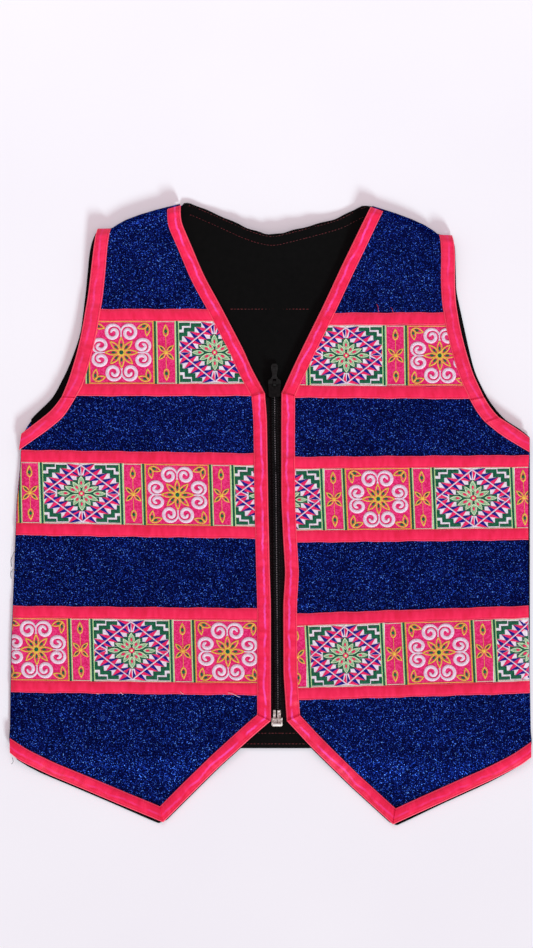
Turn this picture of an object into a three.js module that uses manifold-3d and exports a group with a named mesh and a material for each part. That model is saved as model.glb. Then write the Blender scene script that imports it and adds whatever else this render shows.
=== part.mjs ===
// A child's zip-front vest with embroidered ribbon bands, lying flat on its back, front up.
// Millimetres, +Z up. X runs across the vest, with the wearer's left on +X, and Y from hem to neck.
// The origin is on the surface that the vest lies on, under the middle of its outline.
import * as THREE from 'three';
import Module from 'manifold-3d';
import { mergeVertices } from 'three/addons/utils/BufferGeometryUtils.js';

const wasm = await Module();
wasm.setup();

// Cloth and how its layers lie on each other
const CLOTH = 1.0;                // thickness of every cloth wall
const GAP = 0.3;                  // clearance between pieces that touch
const STEP = CLOTH + GAP;
const ARMHOLE_CLEARANCE = 0.9;    // between a band's end and the bent armhole ribbon
const BACK_LINING_Z = STEP;       // underside of the back lining
const FRONT_LINING_Z = 2 * STEP;  // underside of the front linings and the zip tapes
const FRONT_Z = 3 * STEP;         // underside of the fronts
const FACE_Z = FRONT_Z + CLOTH;   // outer face of the fronts
const SEAM_Z = CLOTH + GAP + 0.65;  // outer face where a front rolls down onto the back

// How the cloth lies
const SIDE_ROLL = 5.5;            // width over which a front rolls down at the side seam
const SHOULDER_ROLL = 7;          // and at the shoulder seam
const SHOULDER_RISE = 2.4;        // how much higher the cloth stands behind the shoulder seam
const SHOULDER_SLOPE = 55;        // distance over which that rise dies out
const WAVE = 0.5;                 // height of the soft waves in the fronts, either way
const POINT_DROP = 2 * STEP;      // the points sink past the back hem to the surface
const DROP_START = -178;
const DROP_LENGTH = 28;
const SEAM_END = 4;               // the side roll dies out over this length at the hem

// Trim
const EDGE_RIBBON = 10;           // width of the pink ribbon on every edge
const STRIP_INSET = 1.5;          // the bands end this far inside the side seam
const LINING_PEEK = 1.1;          // the lining shows past hem and diagonal by this much
const EDGE_INSET = 0.5;           // and stays this far inside every other edge

// Zip
const TAPE_WIDTH = 15;
const COIL_WIDTH = 2.85;
const COIL_HEIGHT = 1.8;
const ZIP_TOP = 87.2;             // upper end of the tapes
const ZIP_BOTTOM = -152.8;
const FRONT_CORNER = -156;        // below this the fronts part along their diagonals
const COIL_TOP = 91;
const COIL_BOTTOM = -146.9;

// Grid steps
const GRID = 15;
const FINE_STEPS = [0, 0.9, 2.1, 3.6, SIDE_ROLL];
const FULL_WIDTH = 200;           // a front's row is divided as one of this width is
const NARROW = 40;                // in rows narrower than this the fine steps shrink with the row

const MATERIALS = {
  glitter: new THREE.MeshStandardMaterial({ color: 0x0a1750, roughness: 0.55, metalness: 0.1 }),
  lining: new THREE.MeshStandardMaterial({ color: 0x0e0d0e, roughness: 0.9, metalness: 0 }),
  satin: new THREE.MeshStandardMaterial({ color: 0xee2c5c, roughness: 0.4, metalness: 0 }),
  embroidery: new THREE.MeshStandardMaterial({ color: 0xd8567c, roughness: 0.7, metalness: 0 }),
  zip: new THREE.MeshStandardMaterial({ color: 0x101012, roughness: 0.5, metalness: 0 }),
  blackMetal: new THREE.MeshStandardMaterial({ color: 0x141416, roughness: 0.35, metalness: 0.8 }),
  silver: new THREE.MeshStandardMaterial({ color: 0xc8beb9, roughness: 0.3, metalness: 1 }),
};

// Outlines of the two fronts. Each table runs down the garment, one row a point: [x, y].
// neck: from the neck point down the neck edge and the centre front, and along the diagonal to the point.
// side: from the shoulder down the armhole and the side seam, and along the hem to the same point.
const RIGHT = {
  sign: -1,
  neck: [
    [-67.5, 233], [-67.5, 220.5], [-60, 202], [-52.5, 184], [-48.5, 175.5], [-38.5, 157.5],
    [-20.5, 123], [-14.5, 109], [-4.5, 90.6], [-3, 73], [-2, 10], [-0.8, -44], [0, -68], [0, -155],
    [-12.8, -166], [-37.5, -188.5], [-80.6, -231.6],
  ],
  side: [
    [-129.5, 214.5], [-131.5, 211], [-133, 195], [-135, 175], [-138, 154], [-141.5, 135], [-147.5, 109],
    [-152.5, 96], [-157, 87], [-166, 77.5], [-177, 68.5], [-187, 60], [-189, 46], [-192, 10], [-193.5, -44],
    [-196, -100], [-196, -173], [-194.8, -179], [-189, -184.5], [-166, -196], [-113, -218.5], [-81.6, -232.2],
  ],
  shoulder: { outer: [-129.5, 214.5], inner: [-67.5, 233] },
  ribbonTop: [
    { outer: [-67.6, 231.4], inner: [-77.4, 228.5] }, { outer: [-67.4, 219], inner: [-77.1, 216.1] },
  ],
  seam: { top: 47, bottom: -164 },
  corner: { outer: [-194, -179.2], inner: [-194, -168.5] },
  // The waves: where across and along the front each one crests, and how wide it is.
  waves: [{ x: -120, y: 40, across: 150, along: 210 }, { x: -60, y: -130, across: 190, along: 130 }],
};
const LEFT = {
  sign: 1,
  neck: [
    [76, 231.5], [70.5, 220.5], [61.5, 202], [53, 184.5], [40.5, 157.5], [23.5, 123], [15, 105],
    [8.4, 90.4], [8.3, 60], [8.4, 10], [9.8, -20], [11.3, -44], [9.8, -68], [10, -120], [12.4, -155],
    [29, -173], [60, -204], [92, -233.2],
  ],
  side: [
    [136, 209.4], [137.5, 205], [138, 185], [138, 168], [140, 149], [143.5, 131.5], [148.5, 114], [153, 100.5],
    [160, 87], [166, 77.5], [171, 72], [184.5, 64], [194, 55.5], [193.5, 10], [193.5, -68], [194.5, -140],
    [195.6, -176], [195.2, -181], [188, -188.5], [165, -200.5], [125, -218.5], [93, -233.8],
  ],
  shoulder: { outer: [136, 209.4], inner: [76, 231.5] },
  ribbonTop: [
    { outer: [75.4, 230.2], inner: [84.5, 226.9] }, { outer: [69.6, 218.6], inner: [78.8, 215.2] },
  ],
  seam: { top: 45, bottom: -166 },
  corner: { outer: [194, -182.3], inner: [194, -171] },
  waves: [{ x: 115, y: 60, across: 170, along: 180 }, { x: 70, y: -110, across: 150, along: 170 }],
};

// Armhole ribbons, one row a station: the edge on the armhole, then the edge on the front.
const ARMHOLE_RIBBONS = {
  right: [
    { outer: [-129.7, 213], inner: [-119.7, 216] }, { outer: [-132, 200], inner: [-121.9, 203] },
    { outer: [-134.5, 180], inner: [-123.8, 180] }, { outer: [-136.8, 162], inner: [-125.8, 162] },
    { outer: [-141.3, 136], inner: [-130.2, 135] }, { outer: [-144.4, 122], inner: [-134, 119] },
    { outer: [-151, 100], inner: [-140.5, 96] }, { outer: [-156.9, 87], inner: [-146, 87] },
    { outer: [-165.8, 77.5], inner: [-156, 73] }, { outer: [-176.8, 68.5], inner: [-167, 64] },
    { outer: [-182.2, 64], inner: [-172.5, 59.5] }, { outer: [-185.8, 59.5], inner: [-187, 48.5] },
  ],
  left: [
    { outer: [136.2, 207.8], inner: [126.6, 211.3] }, { outer: [137.6, 195], inner: [127.5, 198.7] },
    { outer: [137.8, 175], inner: [127.5, 175] }, { outer: [138.5, 160], inner: [128.5, 158] },
    { outer: [141.4, 141], inner: [131.5, 139] }, { outer: [145.8, 123], inner: [136, 120] },
    { outer: [151.3, 105], inner: [142, 101] }, { outer: [159.8, 87], inner: [149.5, 85] },
    { outer: [165.8, 77.6], inner: [155.5, 74.5] }, { outer: [170.8, 72], inner: [161, 68.5] },
    { outer: [177.5, 67.8], inner: [169, 62] }, { outer: [184.3, 63.8], inner: [177.5, 57] },
    { outer: [192, 56.6], inner: [191.7, 46.5] },
  ],
};

// Bands of each front: the outer limits of its two pink strips at the side and at the centre.
const STRIP_HEIGHT = 8.6;
const HALF_CHEST = 190;           // from the middle to the side limits
const BANDS = {
  right: [
    { name: 'top', side: { low: 88.3, high: 153.6 }, centre: { low: 88.3, high: 153.6 }, atArmhole: true },
    { name: 'middle', side: { low: -16, high: 48 }, centre: { low: -18.8, high: 45.2 } },
    { name: 'bottom', side: { low: -134, high: -69 }, centre: { low: -136, high: -71 } },
  ],
  left: [
    { name: 'top', side: { low: 85.6, high: 151.4 }, centre: { low: 87.2, high: 150.4 }, atArmhole: true },
    { name: 'middle', side: { low: -19.7, high: 44 }, centre: { low: -21.8, high: 42.6 } },
    { name: 'bottom', side: { low: -134.8, high: -69 }, centre: { low: -140.3, high: -75.4 } },
  ],
};

// Back: the neck edge, the armhole edges that show past the fronts, and the hem. Rows are [x, y].
const BACK_NECK = [
  [-67.5, 233], [-62.8, 234.2], [-54.4, 231.3], [-36.4, 223.3], [-17.6, 214.5], [-7.9, 211], [1.9, 209],
  [19, 213.3], [40, 219], [50.6, 222.2], [65.6, 230.2], [71.9, 232.6], [76, 231.5],
];
const BACK_RIGHT_SIDE = [
  [-129.5, 214.5], [-133.5, 208], [-136, 198], [-139.9, 166], [-143.6, 136], [-147, 123], [-152.3, 109],
  [-163.5, 87], [-173.3, 78], [-182.3, 69], [-187, 60], [-189, 46], [-192, 10], [-193.5, -44], [-196, -100],
  [-196, -173], [-194, -176.5],
];
const BACK_LEFT_SIDE = [
  [136, 209.4], [138.4, 204], [139, 168], [141, 157], [148.5, 123], [154, 105], [160.5, 91.5], [166, 82],
  [172.5, 73.5], [180, 68.5], [194, 56], [193.5, 10], [193.5, -68], [194.5, -140], [195.6, -173], [193.5, -176.5],
];

// Line of the zip, from its top down: [x, y].
const ZIP_LINE = [[3.1, 92], [3.2, 63], [4.1, 17], [4.5, -30], [5.5, -133], [5.6, -160]];

// x of an outline at a height y, its rows running down
function xAt(rows, y) {
  for (let i = 1; i < rows.length; i++) {
    const [x0, y0] = rows[i - 1];
    const [x1, y1] = rows[i];
    if (y >= y1 || i === rows.length - 1) {
      return THREE.MathUtils.lerp(x0, x1, THREE.MathUtils.clamp((y0 - y) / (y0 - y1), 0, 1));
    }
  }
  return rows[0][0];
}

// Distance below the shoulder seam, a straight line
function belowShoulder(front, x, y) {
  const [ax, ay] = front.shoulder.outer;
  const [bx, by] = front.shoulder.inner;
  const length = Math.hypot(bx - ax, by - ay);
  return (front.sign * ((bx - ax) * (y - ay) - (by - ay) * (x - ax))) / length;
}

// Share of the full height at a distance from a seam
const rolled = (distance, width) => Math.sin((Math.PI / 2) * THREE.MathUtils.clamp(distance / width, -1, 1));
const fade = THREE.MathUtils.smoothstep;

// What the lining and the front have in common: the rise behind the shoulder, and the sinking point
function layerLift(front, x, y) {
  const rise = SHOULDER_RISE * (1 - fade(belowShoulder(front, x, y), SHOULDER_ROLL, SHOULDER_SLOPE));
  const drop = POINT_DROP * fade(DROP_START - y, 0, DROP_LENGTH);
  return rise - drop;
}

// Soft waves of the front cloth, a broad low crest each, nothing at the edges
function waves(front, x, y) {
  let height = 0;
  for (const wave of front.waves) {
    const across = Math.min(Math.abs(x - wave.x) / wave.across, 0.5);
    const along = Math.min(Math.abs(y - wave.y) / wave.along, 0.5);
    height += 2 * WAVE * Math.cos(Math.PI * across) ** 2 * Math.cos(Math.PI * along) ** 2;
  }
  return height;
}

// Height of a front's outer face
function faceHeight(front, x, y) {
  const full = FACE_Z + layerLift(front, x, y) + waves(front, x, y);
  const fromSide = front.sign * (xAt(front.side, y) - x);
  const { top, bottom } = front.seam;
  const sewn = fade(y, bottom - SEAM_END, bottom + SEAM_END) * (1 - fade(y, top - 3 * SEAM_END, top));
  const side = 1 - sewn * (1 - rolled(fromSide, SIDE_ROLL));
  const shoulder = rolled(belowShoulder(front, x, y), SHOULDER_ROLL);
  return SEAM_Z + (full - SEAM_Z) * Math.min(side, shoulder);
}

const liningHeight = (front, x, y) => FRONT_LINING_Z + CLOTH + layerLift(front, x, y);

// A point over (x, y), moved out from a surface along its normal
function overSurface(height, x, y, offset) {
  const d = 0.05;
  const normal = new THREE.Vector3(
    (height(x - d, y) - height(x + d, y)) / (2 * d),
    (height(x, y - d) - height(x, y + d)) / (2 * d),
    1,
  ).normalize();
  return new THREE.Vector3(x, y, height(x, y)).addScaledVector(normal, offset);
}

// One closed body from shared points and triangles, its faces turned outwards
function body(points, faces) {
  let volume = 0;
  const ab = new THREE.Vector3();
  for (const [a, b, c] of faces) volume += ab.crossVectors(points[a], points[b]).dot(points[c]);
  const geometry = new THREE.BufferGeometry();
  geometry.setAttribute('position', new THREE.Float32BufferAttribute(points.flatMap((p) => p.toArray()), 3));
  geometry.setIndex(faces.flatMap(([a, b, c]) => (volume > 0 ? [a, b, c] : [a, c, b])));
  geometry.computeVertexNormals();
  return geometry;
}

// A cloth wall over a grid of [x, y] points, between two offsets from a surface
function clothWall(grid, height, low, high) {
  const rows = grid.length;
  const columns = grid[0].length;
  const flat = grid.flat();
  const layer = (offset) => flat.map(([x, y]) => overSurface(height, x, y, offset));
  const points = [...layer(high), ...layer(low)];
  const under = rows * columns;
  const at = (row, column) => row * columns + column;
  const faces = [];
  const quad = (a, b, c, d) => faces.push([a, b, c], [a, c, d]);
  for (let row = 0; row + 1 < rows; row++) {
    for (let column = 0; column + 1 < columns; column++) {
      const [a, b, c, d] = [at(row, column), at(row, column + 1), at(row + 1, column + 1), at(row + 1, column)];
      quad(a, b, c, d);
      quad(under + d, under + c, under + b, under + a);
    }
  }
  const rim = (a, b) => quad(a, under + a, under + b, b);
  for (let column = 0; column + 1 < columns; column++) {
    rim(at(0, column), at(0, column + 1));
    rim(at(rows - 1, column + 1), at(rows - 1, column));
  }
  for (let row = 0; row + 1 < rows; row++) {
    rim(at(row + 1, 0), at(row, 0));
    rim(at(row, columns - 1), at(row + 1, columns - 1));
  }
  return body(points, faces);
}

// Distances along a line: the fine steps of a roll, if it starts there, then even ones
function stepsAlong(length, fine, start = 0, step = GRID) {
  const roll = fine && length > 2 * SIDE_ROLL;
  const first = roll ? FINE_STEPS.filter((d) => d >= start).map((d) => d - start) : [0];
  const from = first[first.length - 1];
  const count = Math.max(1, Math.ceil((length - from) / step));
  for (let i = 1; i <= count; i++) first.push(THREE.MathUtils.lerp(from, length, i / count));
  return first;
}

const between = ([ax, ay], [bx, by], t) => [THREE.MathUtils.lerp(ax, bx, t), THREE.MathUtils.lerp(ay, by, t)];

// Heights of a front's rows below the yoke, closer where its outline bends or its height changes
const YOKE = 150;
const ARMHOLE_ROWS = [YOKE, 136, 122, 109, 98, 91, ZIP_TOP, 77.5, 68.5, 60, 52, 47, 43, 39, 34];
const BODY_ROWS = [19, 4, -12, -28, -44, -58, -72, -88, -104, -120, -136, -148, ZIP_BOTTOM, -155];
const POINT_ROWS = [-160, -165, -170, -174, -179, -184, -189, -195, -202, -210, -218.5, -226];
const SHOULDER_STEPS = [0, 1, 2.4, 4.4, SHOULDER_ROLL, 16, 28, 42];

// Ends of a front's rows, from the shoulder seam down. Near the shoulder they turn with its slope.
function frontRows(front, from, insetSide, insetNeck) {
  const [, outerTop] = front.shoulder.outer;
  const [, innerTop] = front.shoulder.inner;
  const rows = [];
  const row = (outerY, innerY) => rows.push({
    outer: [xAt(front.side, outerY) - front.sign * insetSide(outerY), outerY],
    inner: [xAt(front.neck, innerY) + front.sign * insetNeck(innerY), innerY],
  });
  for (const distance of SHOULDER_STEPS.filter((d) => d >= from)) {
    const t = distance / (outerTop - YOKE);
    row(THREE.MathUtils.lerp(outerTop, YOKE, t), THREE.MathUtils.lerp(innerTop, YOKE, t));
  }
  for (const y of [...ARMHOLE_ROWS, ...BODY_ROWS, ...POINT_ROWS]) row(y, y);
  return rows;
}

function frontShell(front) {
  const none = () => 0;
  const rows = frontRows(front, 0, none, none);
  const tip = front.side[front.side.length - 1];
  rows.push({ outer: tip, inner: front.neck[front.neck.length - 1] });
  const steps = stepsAlong(FULL_WIDTH, true);
  const grid = rows.map(({ outer, inner }) => {
    const width = Math.hypot(inner[0] - outer[0], inner[1] - outer[1]);
    const roll = SIDE_ROLL * Math.min(1, width / NARROW);
    return steps.map((step) => {
      const rest = (step - SIDE_ROLL) / (FULL_WIDTH - SIDE_ROLL);
      const distance = rest < 0 ? (step / SIDE_ROLL) * roll : roll + rest * (width - roll);
      return between(outer, inner, distance / width);
    });
  });
  return clothWall(grid, (x, y) => faceHeight(front, x, y), -CLOTH, 0);
}

function frontLining(front) {
  const seam = front.seam;
  const side = (y) => {
    if (y < front.corner.outer[1] + SEAM_END) return -LINING_PEEK;
    return y < seam.top + SEAM_END && y > seam.bottom - SEAM_END ? SIDE_ROLL + 2 : EDGE_INSET;
  };
  const tapeEdge = (y) => Math.abs(xAt(front.neck, y) - xAt(ZIP_LINE, y) - front.sign * (TAPE_WIDTH + GAP));
  const neck = (y) => {
    if (y < FRONT_CORNER) return -LINING_PEEK;
    return y <= ZIP_TOP && y >= ZIP_BOTTOM ? tapeEdge(y) : EDGE_INSET;
  };
  const rows = frontRows(front, 2 * SHOULDER_ROLL, side, neck);
  const tip = front.side[front.side.length - 1];
  const tipY = tip[1] - EDGE_INSET;
  rows.push({ outer: [tip[0], tipY], inner: [tip[0] - front.sign * LINING_PEEK, tipY] });
  const grid = rows.map(({ outer, inner }) => [0, 0.25, 0.5, 0.75, 1].map((t) => between(outer, inner, t)));
  return clothWall(grid, (x, y) => liningHeight(front, x, y), -CLOTH, 0);
}

// The edge ribbon's outer edge: down the neck edge and centre front, along the diagonal and up the hem
function edgePath(front) {
  const hem = front.side.filter(([, y]) => y < front.corner.outer[1] - 2).reverse().slice(1);
  const below = front.ribbonTop[1].outer[1] - 2;
  return [...front.neck.filter(([, y]) => y < below), ...hem, front.corner.outer];
}

// Inner edge of a ribbon laid along a path on its inner side, mitred at each corner
function mitredInner(path, width, side) {
  return path.map((point, i) => {
    const before = path[Math.max(i - 1, 0)];
    const after = path[Math.min(i + 1, path.length - 1)];
    const normals = [[before, point], [point, after]].filter(([a, b]) => a !== b).map(([a, b]) => {
      const length = Math.hypot(b[0] - a[0], b[1] - a[1]);
      return new THREE.Vector2(side * (a[1] - b[1]) / length, side * (b[0] - a[0]) / length);
    });
    const mean = normals[0].clone().add(normals[normals.length - 1]).normalize();
    const reach = width / mean.dot(normals[0]);
    return [point[0] + mean.x * reach, point[1] + mean.y * reach];
  });
}

// A ribbon as stations { outer, inner }, with more of them put in on long stretches
function ribbonWall(front, stations) {
  const grid = [[stations[0].outer, stations[0].inner]];
  for (let i = 1; i < stations.length; i++) {
    const last = stations[i - 1];
    const { outer, inner } = stations[i];
    const length = Math.hypot(outer[0] - last.outer[0], outer[1] - last.outer[1]);
    for (const distance of stepsAlong(length, i === 1).slice(1)) {
      grid.push([between(last.outer, outer, distance / length), between(last.inner, inner, distance / length)]);
    }
  }
  const threeAcross = grid.map(([outer, inner]) => [outer, between(outer, inner, 0.5), inner]);
  return clothWall(threeAcross, (x, y) => faceHeight(front, x, y), GAP, GAP + CLOTH);
}

function edgeStations(front) {
  const path = edgePath(front);
  const inner = mitredInner(path, EDGE_RIBBON, front.sign);
  const stations = path.map((outer, i) => ({ outer, inner: inner[i] }));
  stations[stations.length - 1].inner = front.corner.inner;
  return [...front.ribbonTop, ...stations];
}

// One layer of a band, from the side or armhole ribbon to the edge ribbon. low and high are distances
// up from the band's lower limit, or down from its upper one where they are negative.
function bandWall(front, band, armhole, lowOffset, highOffset, rowCount) {
  const stations = edgeStations(front);
  const cornerRow = stations.findIndex(({ outer }) => outer[1] < ZIP_BOTTOM);
  const ribbonEdge = stations.slice(0, cornerRow + 1).map(({ inner }) => inner);
  const armholeEdge = armhole.map(({ inner }) => inner);
  const limit = (at, offset) => (offset < 0 ? at.high + offset : at.low + offset);
  const bandY = (x, offset) => {
    const across = THREE.MathUtils.clamp(Math.abs(x) / HALF_CHEST, 0, 1);
    return THREE.MathUtils.lerp(limit(band.centre, offset), limit(band.side, offset), across);
  };
  const outerX = (y) => (band.atArmhole
    ? xAt(armholeEdge, y) - front.sign * ARMHOLE_CLEARANCE
    : xAt(front.side, y) - front.sign * STRIP_INSET);
  const innerX = (y) => xAt(ribbonEdge, y) + front.sign * 1.5 * GAP;
  const endPoint = (edge, row) => {
    let point = [0, 0];
    for (let pass = 0; pass < 4; pass++) {
      const y = THREE.MathUtils.lerp(bandY(point[0], lowOffset), bandY(point[0], highOffset), row);
      point = [edge(y), y];
    }
    return point;
  };
  const width = Math.abs(outerX(bandY(HALF_CHEST, lowOffset)) - innerX(bandY(0, lowOffset)));
  const steps = stepsAlong(width, !band.atArmhole, STRIP_INSET);
  const grid = [];
  for (let r = 0; r <= rowCount; r++) {
    const outer = endPoint(outerX, r / rowCount);
    const inner = endPoint(innerX, r / rowCount);
    grid.push(steps.map((step) => {
      const [x] = between(outer, inner, step / width);
      const y = THREE.MathUtils.lerp(bandY(x, lowOffset), bandY(x, highOffset), r / rowCount);
      return [x, y];
    }));
  }
  return clothWall(grid, (x, y) => faceHeight(front, x, y), GAP, GAP + CLOTH);
}

// The back's outline, anticlockwise from the right shoulder
const neckBackwards = () => BACK_NECK.slice(1, -1).reverse();
const backOutline = () => [...BACK_RIGHT_SIDE, ...BACK_LEFT_SIDE.slice().reverse(), ...neckBackwards()];

// The lining's outline: it shows at the neck and armholes, and stops short where the fronts roll down
function backLiningOutline() {
  const inset = SIDE_ROLL + 2;
  const sideOf = (rows, front) => {
    const shoulder = front.shoulder.outer[1] - inset;
    const armhole = rows.filter(([, y]) => y > front.seam.top + SEAM_END && y < shoulder);
    const seam = rows.filter(([, y]) => y < front.seam.top).map(([x, y]) => [x - front.sign * inset, y]);
    return [...armhole, ...seam];
  };
  const shoulderOf = (front) => {
    const drop = SHOULDER_ROLL + 2;
    const [x, y] = front.shoulder.inner;
    const clear = x - front.sign * 2 * GAP;
    return [[clear, y], [clear, y - drop], [x + front.sign * drop, y - 1.3 * drop]];
  };
  const right = sideOf(BACK_RIGHT_SIDE, RIGHT);
  const left = sideOf(BACK_LEFT_SIDE, LEFT).reverse();
  return [...right, ...left, ...shoulderOf(LEFT).reverse(), ...neckBackwards(), ...shoulderOf(RIGHT)];
}

function backPlate(outline, z) {
  const shape = new THREE.Shape(outline.map(([x, y]) => new THREE.Vector2(x, y)));
  const plate = new THREE.ExtrudeGeometry(shape, { depth: CLOTH, bevelEnabled: false });
  return plate.translate(0, 0, z);
}

// The zip tape and coil of one side, strips along the zip's line
function zipStrip(sign, near, far, top, bottom, z, thickness) {
  const ys = [top, ...ZIP_LINE.map(([, y]) => y).filter((y) => y < top && y > bottom), bottom];
  const grid = ys.map((y) => [[xAt(ZIP_LINE, y) + sign * near, y], [xAt(ZIP_LINE, y) + sign * far, y]]);
  return clothWall(grid, () => z, 0, thickness);
}

// Solids that are joined or cut
function solid(geometry) {
  const bare = geometry.clone();
  bare.deleteAttribute('normal');
  bare.deleteAttribute('uv');
  const merged = mergeVertices(bare, 1e-4);
  const vertProperties = new Float32Array(merged.attributes.position.array);
  const triVerts = new Uint32Array(merged.index.array);
  return new wasm.Manifold(new wasm.Mesh({ numProp: 3, vertProperties, triVerts }));
}

function geometryOf(manifold) {
  const mesh = manifold.getMesh();
  const geometry = new THREE.BufferGeometry();
  geometry.setAttribute('position', new THREE.BufferAttribute(mesh.vertProperties, 3));
  geometry.setIndex(new THREE.BufferAttribute(mesh.triVerts, 1));
  geometry.computeVertexNormals();
  return geometry;
}

function block(width, length, height, x, y, z) {
  return new THREE.BoxGeometry(width, length, height).translate(x, y, z + height / 2);
}

// A flat plate, the same on both sides of its middle line. Rows are [half width, y].
function plate(rows, thickness, z) {
  const right = rows.map(([half, y]) => new THREE.Vector2(half, y));
  const left = rows.map(([half, y]) => new THREE.Vector2(-half, y)).reverse();
  const geometry = new THREE.ExtrudeGeometry(new THREE.Shape([...right, ...left]), {
    depth: thickness, bevelEnabled: false,
  });
  return geometry.translate(0, 0, z);
}

// Slider: two plates joined by a post at the neck end, side flanges, and a bridge for the pull tab.
// Its own y runs from the neck end, at 0, to the tail, at minus its length.
const SLIDER = {
  x: 3, y: 101, length: 13.5, halfNeck: 4.7, halfTail: 4.4,
  lowerZ: FRONT_LINING_Z, lowerThickness: CLOTH, upperZ: 6.0, upperThickness: 1.6,
};
const BRIDGE = { y: -3.5, inner: 1.3, outer: 2.3, width: 2.0 };
const PIVOT_RADIUS = 0.7;
const UPPER_TOP = SLIDER.upperZ + SLIDER.upperThickness;
const PIVOT_Z = UPPER_TOP + GAP + PIVOT_RADIUS;
const NOSE = { start: -3.7, angle: THREE.MathUtils.degToRad(20) };
const POST = { width: 2.8, length: 4.2, y: -3 };
const FLANGE = { width: 0.9, depth: 1, share: 0.5, middle: 0.7 };

function sliderOutline() {
  const { halfNeck, halfTail, length } = SLIDER;
  return [
    [halfTail - 1, -length], [halfTail, -length + 1], [halfTail, -length * 0.55], [halfNeck, -length * 0.3],
    [halfNeck, -1.4], [halfNeck - 1.4, 0],
  ];
}

function slider() {
  const { halfTail, length, lowerZ, lowerThickness, upperZ, upperThickness } = SLIDER;
  const lower = solid(plate(sliderOutline(), lowerThickness, lowerZ));
  const upper = solid(plate(sliderOutline(), upperThickness, upperZ));
  const past = 2;
  const nose = new THREE.Shape([
    new THREE.Vector2(NOSE.start, UPPER_TOP), new THREE.Vector2(past, UPPER_TOP),
    new THREE.Vector2(past, UPPER_TOP - (past - NOSE.start) * Math.tan(NOSE.angle)),
  ]);
  const acrossX = (shape, width) => new THREE.ExtrudeGeometry(shape, { depth: width, bevelEnabled: false })
    .translate(0, 0, -width / 2).rotateY(Math.PI / 2).rotateX(Math.PI / 2);
  const noseCut = solid(acrossX(nose, 3 * halfTail));
  const post = solid(block(POST.width, POST.length, upperZ - lowerZ, 0, POST.y, lowerZ + lowerThickness / 2));
  const flange = (side) => solid(block(FLANGE.width, length * FLANGE.share, FLANGE.depth + upperThickness / 2,
    side * (halfTail - FLANGE.width / 2), -length * FLANGE.middle, upperZ - FLANGE.depth));
  const arch = new THREE.Shape();
  const foot = UPPER_TOP - PIVOT_Z - upperThickness / 2;
  arch.moveTo(BRIDGE.outer, foot);
  arch.lineTo(BRIDGE.outer, 0);
  arch.absarc(0, 0, BRIDGE.outer, 0, Math.PI, false);
  arch.lineTo(-BRIDGE.outer, foot);
  arch.lineTo(-BRIDGE.inner, foot);
  arch.lineTo(-BRIDGE.inner, 0);
  arch.absarc(0, 0, BRIDGE.inner, Math.PI, 0, true);
  arch.lineTo(BRIDGE.inner, foot);
  const bridge = solid(acrossX(arch, BRIDGE.width).translate(0, BRIDGE.y, PIVOT_Z));
  const joined = upper.subtract(noseCut).add(lower).add(post).add(flange(-1)).add(flange(1)).add(bridge);
  return geometryOf(joined);
}

// Pull tab: a crossbar in the bridge, a ring round the bridge, and a tapered grip.
// It hangs from the crossbar and rests with its tip on the back lining.
const TAB = { length: 15.8, thickness: 2 * PIVOT_RADIUS, window: 3.3, halfWindow: 1.3, halfRing: 2.65 };
const TAB_OUTLINE = [
  [TAB.halfRing, 0], [TAB.halfRing, 3.6], [1.8, 5.4], [1.8, 8], [2.5, 11], [2.5, 14.2], [1.4, TAB.length],
];
const TAB_EYE = { width: 1.6, length: 2.8, y: 12.3, depth: 0.3 };

function tabDroop() {
  const fall = PIVOT_Z - (BACK_LINING_Z + CLOTH + GAP);
  const reach = Math.hypot(TAB.length, PIVOT_RADIUS);
  return Math.asin(fall / reach) - Math.atan2(PIVOT_RADIUS, TAB.length);
}

function pullTab() {
  const { thickness, window, halfWindow, halfRing } = TAB;
  const grip = solid(plate(TAB_OUTLINE, thickness, -PIVOT_RADIUS));
  const hole = solid(block(2 * halfWindow, window, thickness + 2, 0, window / 2, -PIVOT_RADIUS - 1));
  const bar = solid(new THREE.CylinderGeometry(PIVOT_RADIUS, PIVOT_RADIUS, 2 * halfRing, 12).rotateZ(Math.PI / 2));
  const eye = solid(block(TAB_EYE.width, TAB_EYE.length, 1, 0, TAB_EYE.y, PIVOT_RADIUS - TAB_EYE.depth));
  return geometryOf(grip.subtract(hole).add(bar).subtract(eye));
}

// Box at the zip's foot, with a socket for each pin and a shallow framed face
const BOX = { x: 4.9, y: -153.1, width: 8.2, length: 6.3, z: FRONT_LINING_Z, height: 3.6, corner: 0.9 };
const FRAME = { rim: 1, lip: 1.2, depth: 0.4 };
const PINS = {
  insert: { x: 3.0, width: 1.9, top: -147.2, z: FRONT_Z, height: 1.6 },
  box: { x: 6.4, width: 2.6, top: -147.2, z: FRONT_Z, height: 1.7 },
};
const PIN_FOOT = -157.2;

function zipBox() {
  const { x, y, width, length, z, height, corner } = BOX;
  const half = width / 2;
  const outline = [[half - corner, -length], [half, -length + corner], [half, 0]];
  const face = block(width - 2 * FRAME.rim, length - FRAME.rim - FRAME.lip, 1, x,
    y - (length - FRAME.lip + FRAME.rim) / 2, z + height - FRAME.depth);
  let result = solid(plate(outline, height, z).translate(x, y, 0)).subtract(solid(face));
  for (const pin of Object.values(PINS)) {
    const mouth = y + 1;
    const end = PIN_FOOT - GAP;
    const [wide, high] = [pin.width + 2 * GAP, pin.height + 2 * GAP];
    result = result.subtract(solid(block(wide, mouth - end, high, pin.x, (mouth + end) / 2, pin.z - GAP)));
  }
  return geometryOf(result);
}

// A pin, narrowed a little at both ends
function pinBar({ x, width, top, z, height }) {
  const half = width / 2;
  const [foot, head] = [0.4, 0.5];
  const rows = [[half - foot, PIN_FOOT], [half, PIN_FOOT + 2 * foot], [half, top - head], [half - head, top]];
  return plate(rows, height, z).translate(x, 0, 0);
}

// The scene graph
const vest = new THREE.Group();

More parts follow.
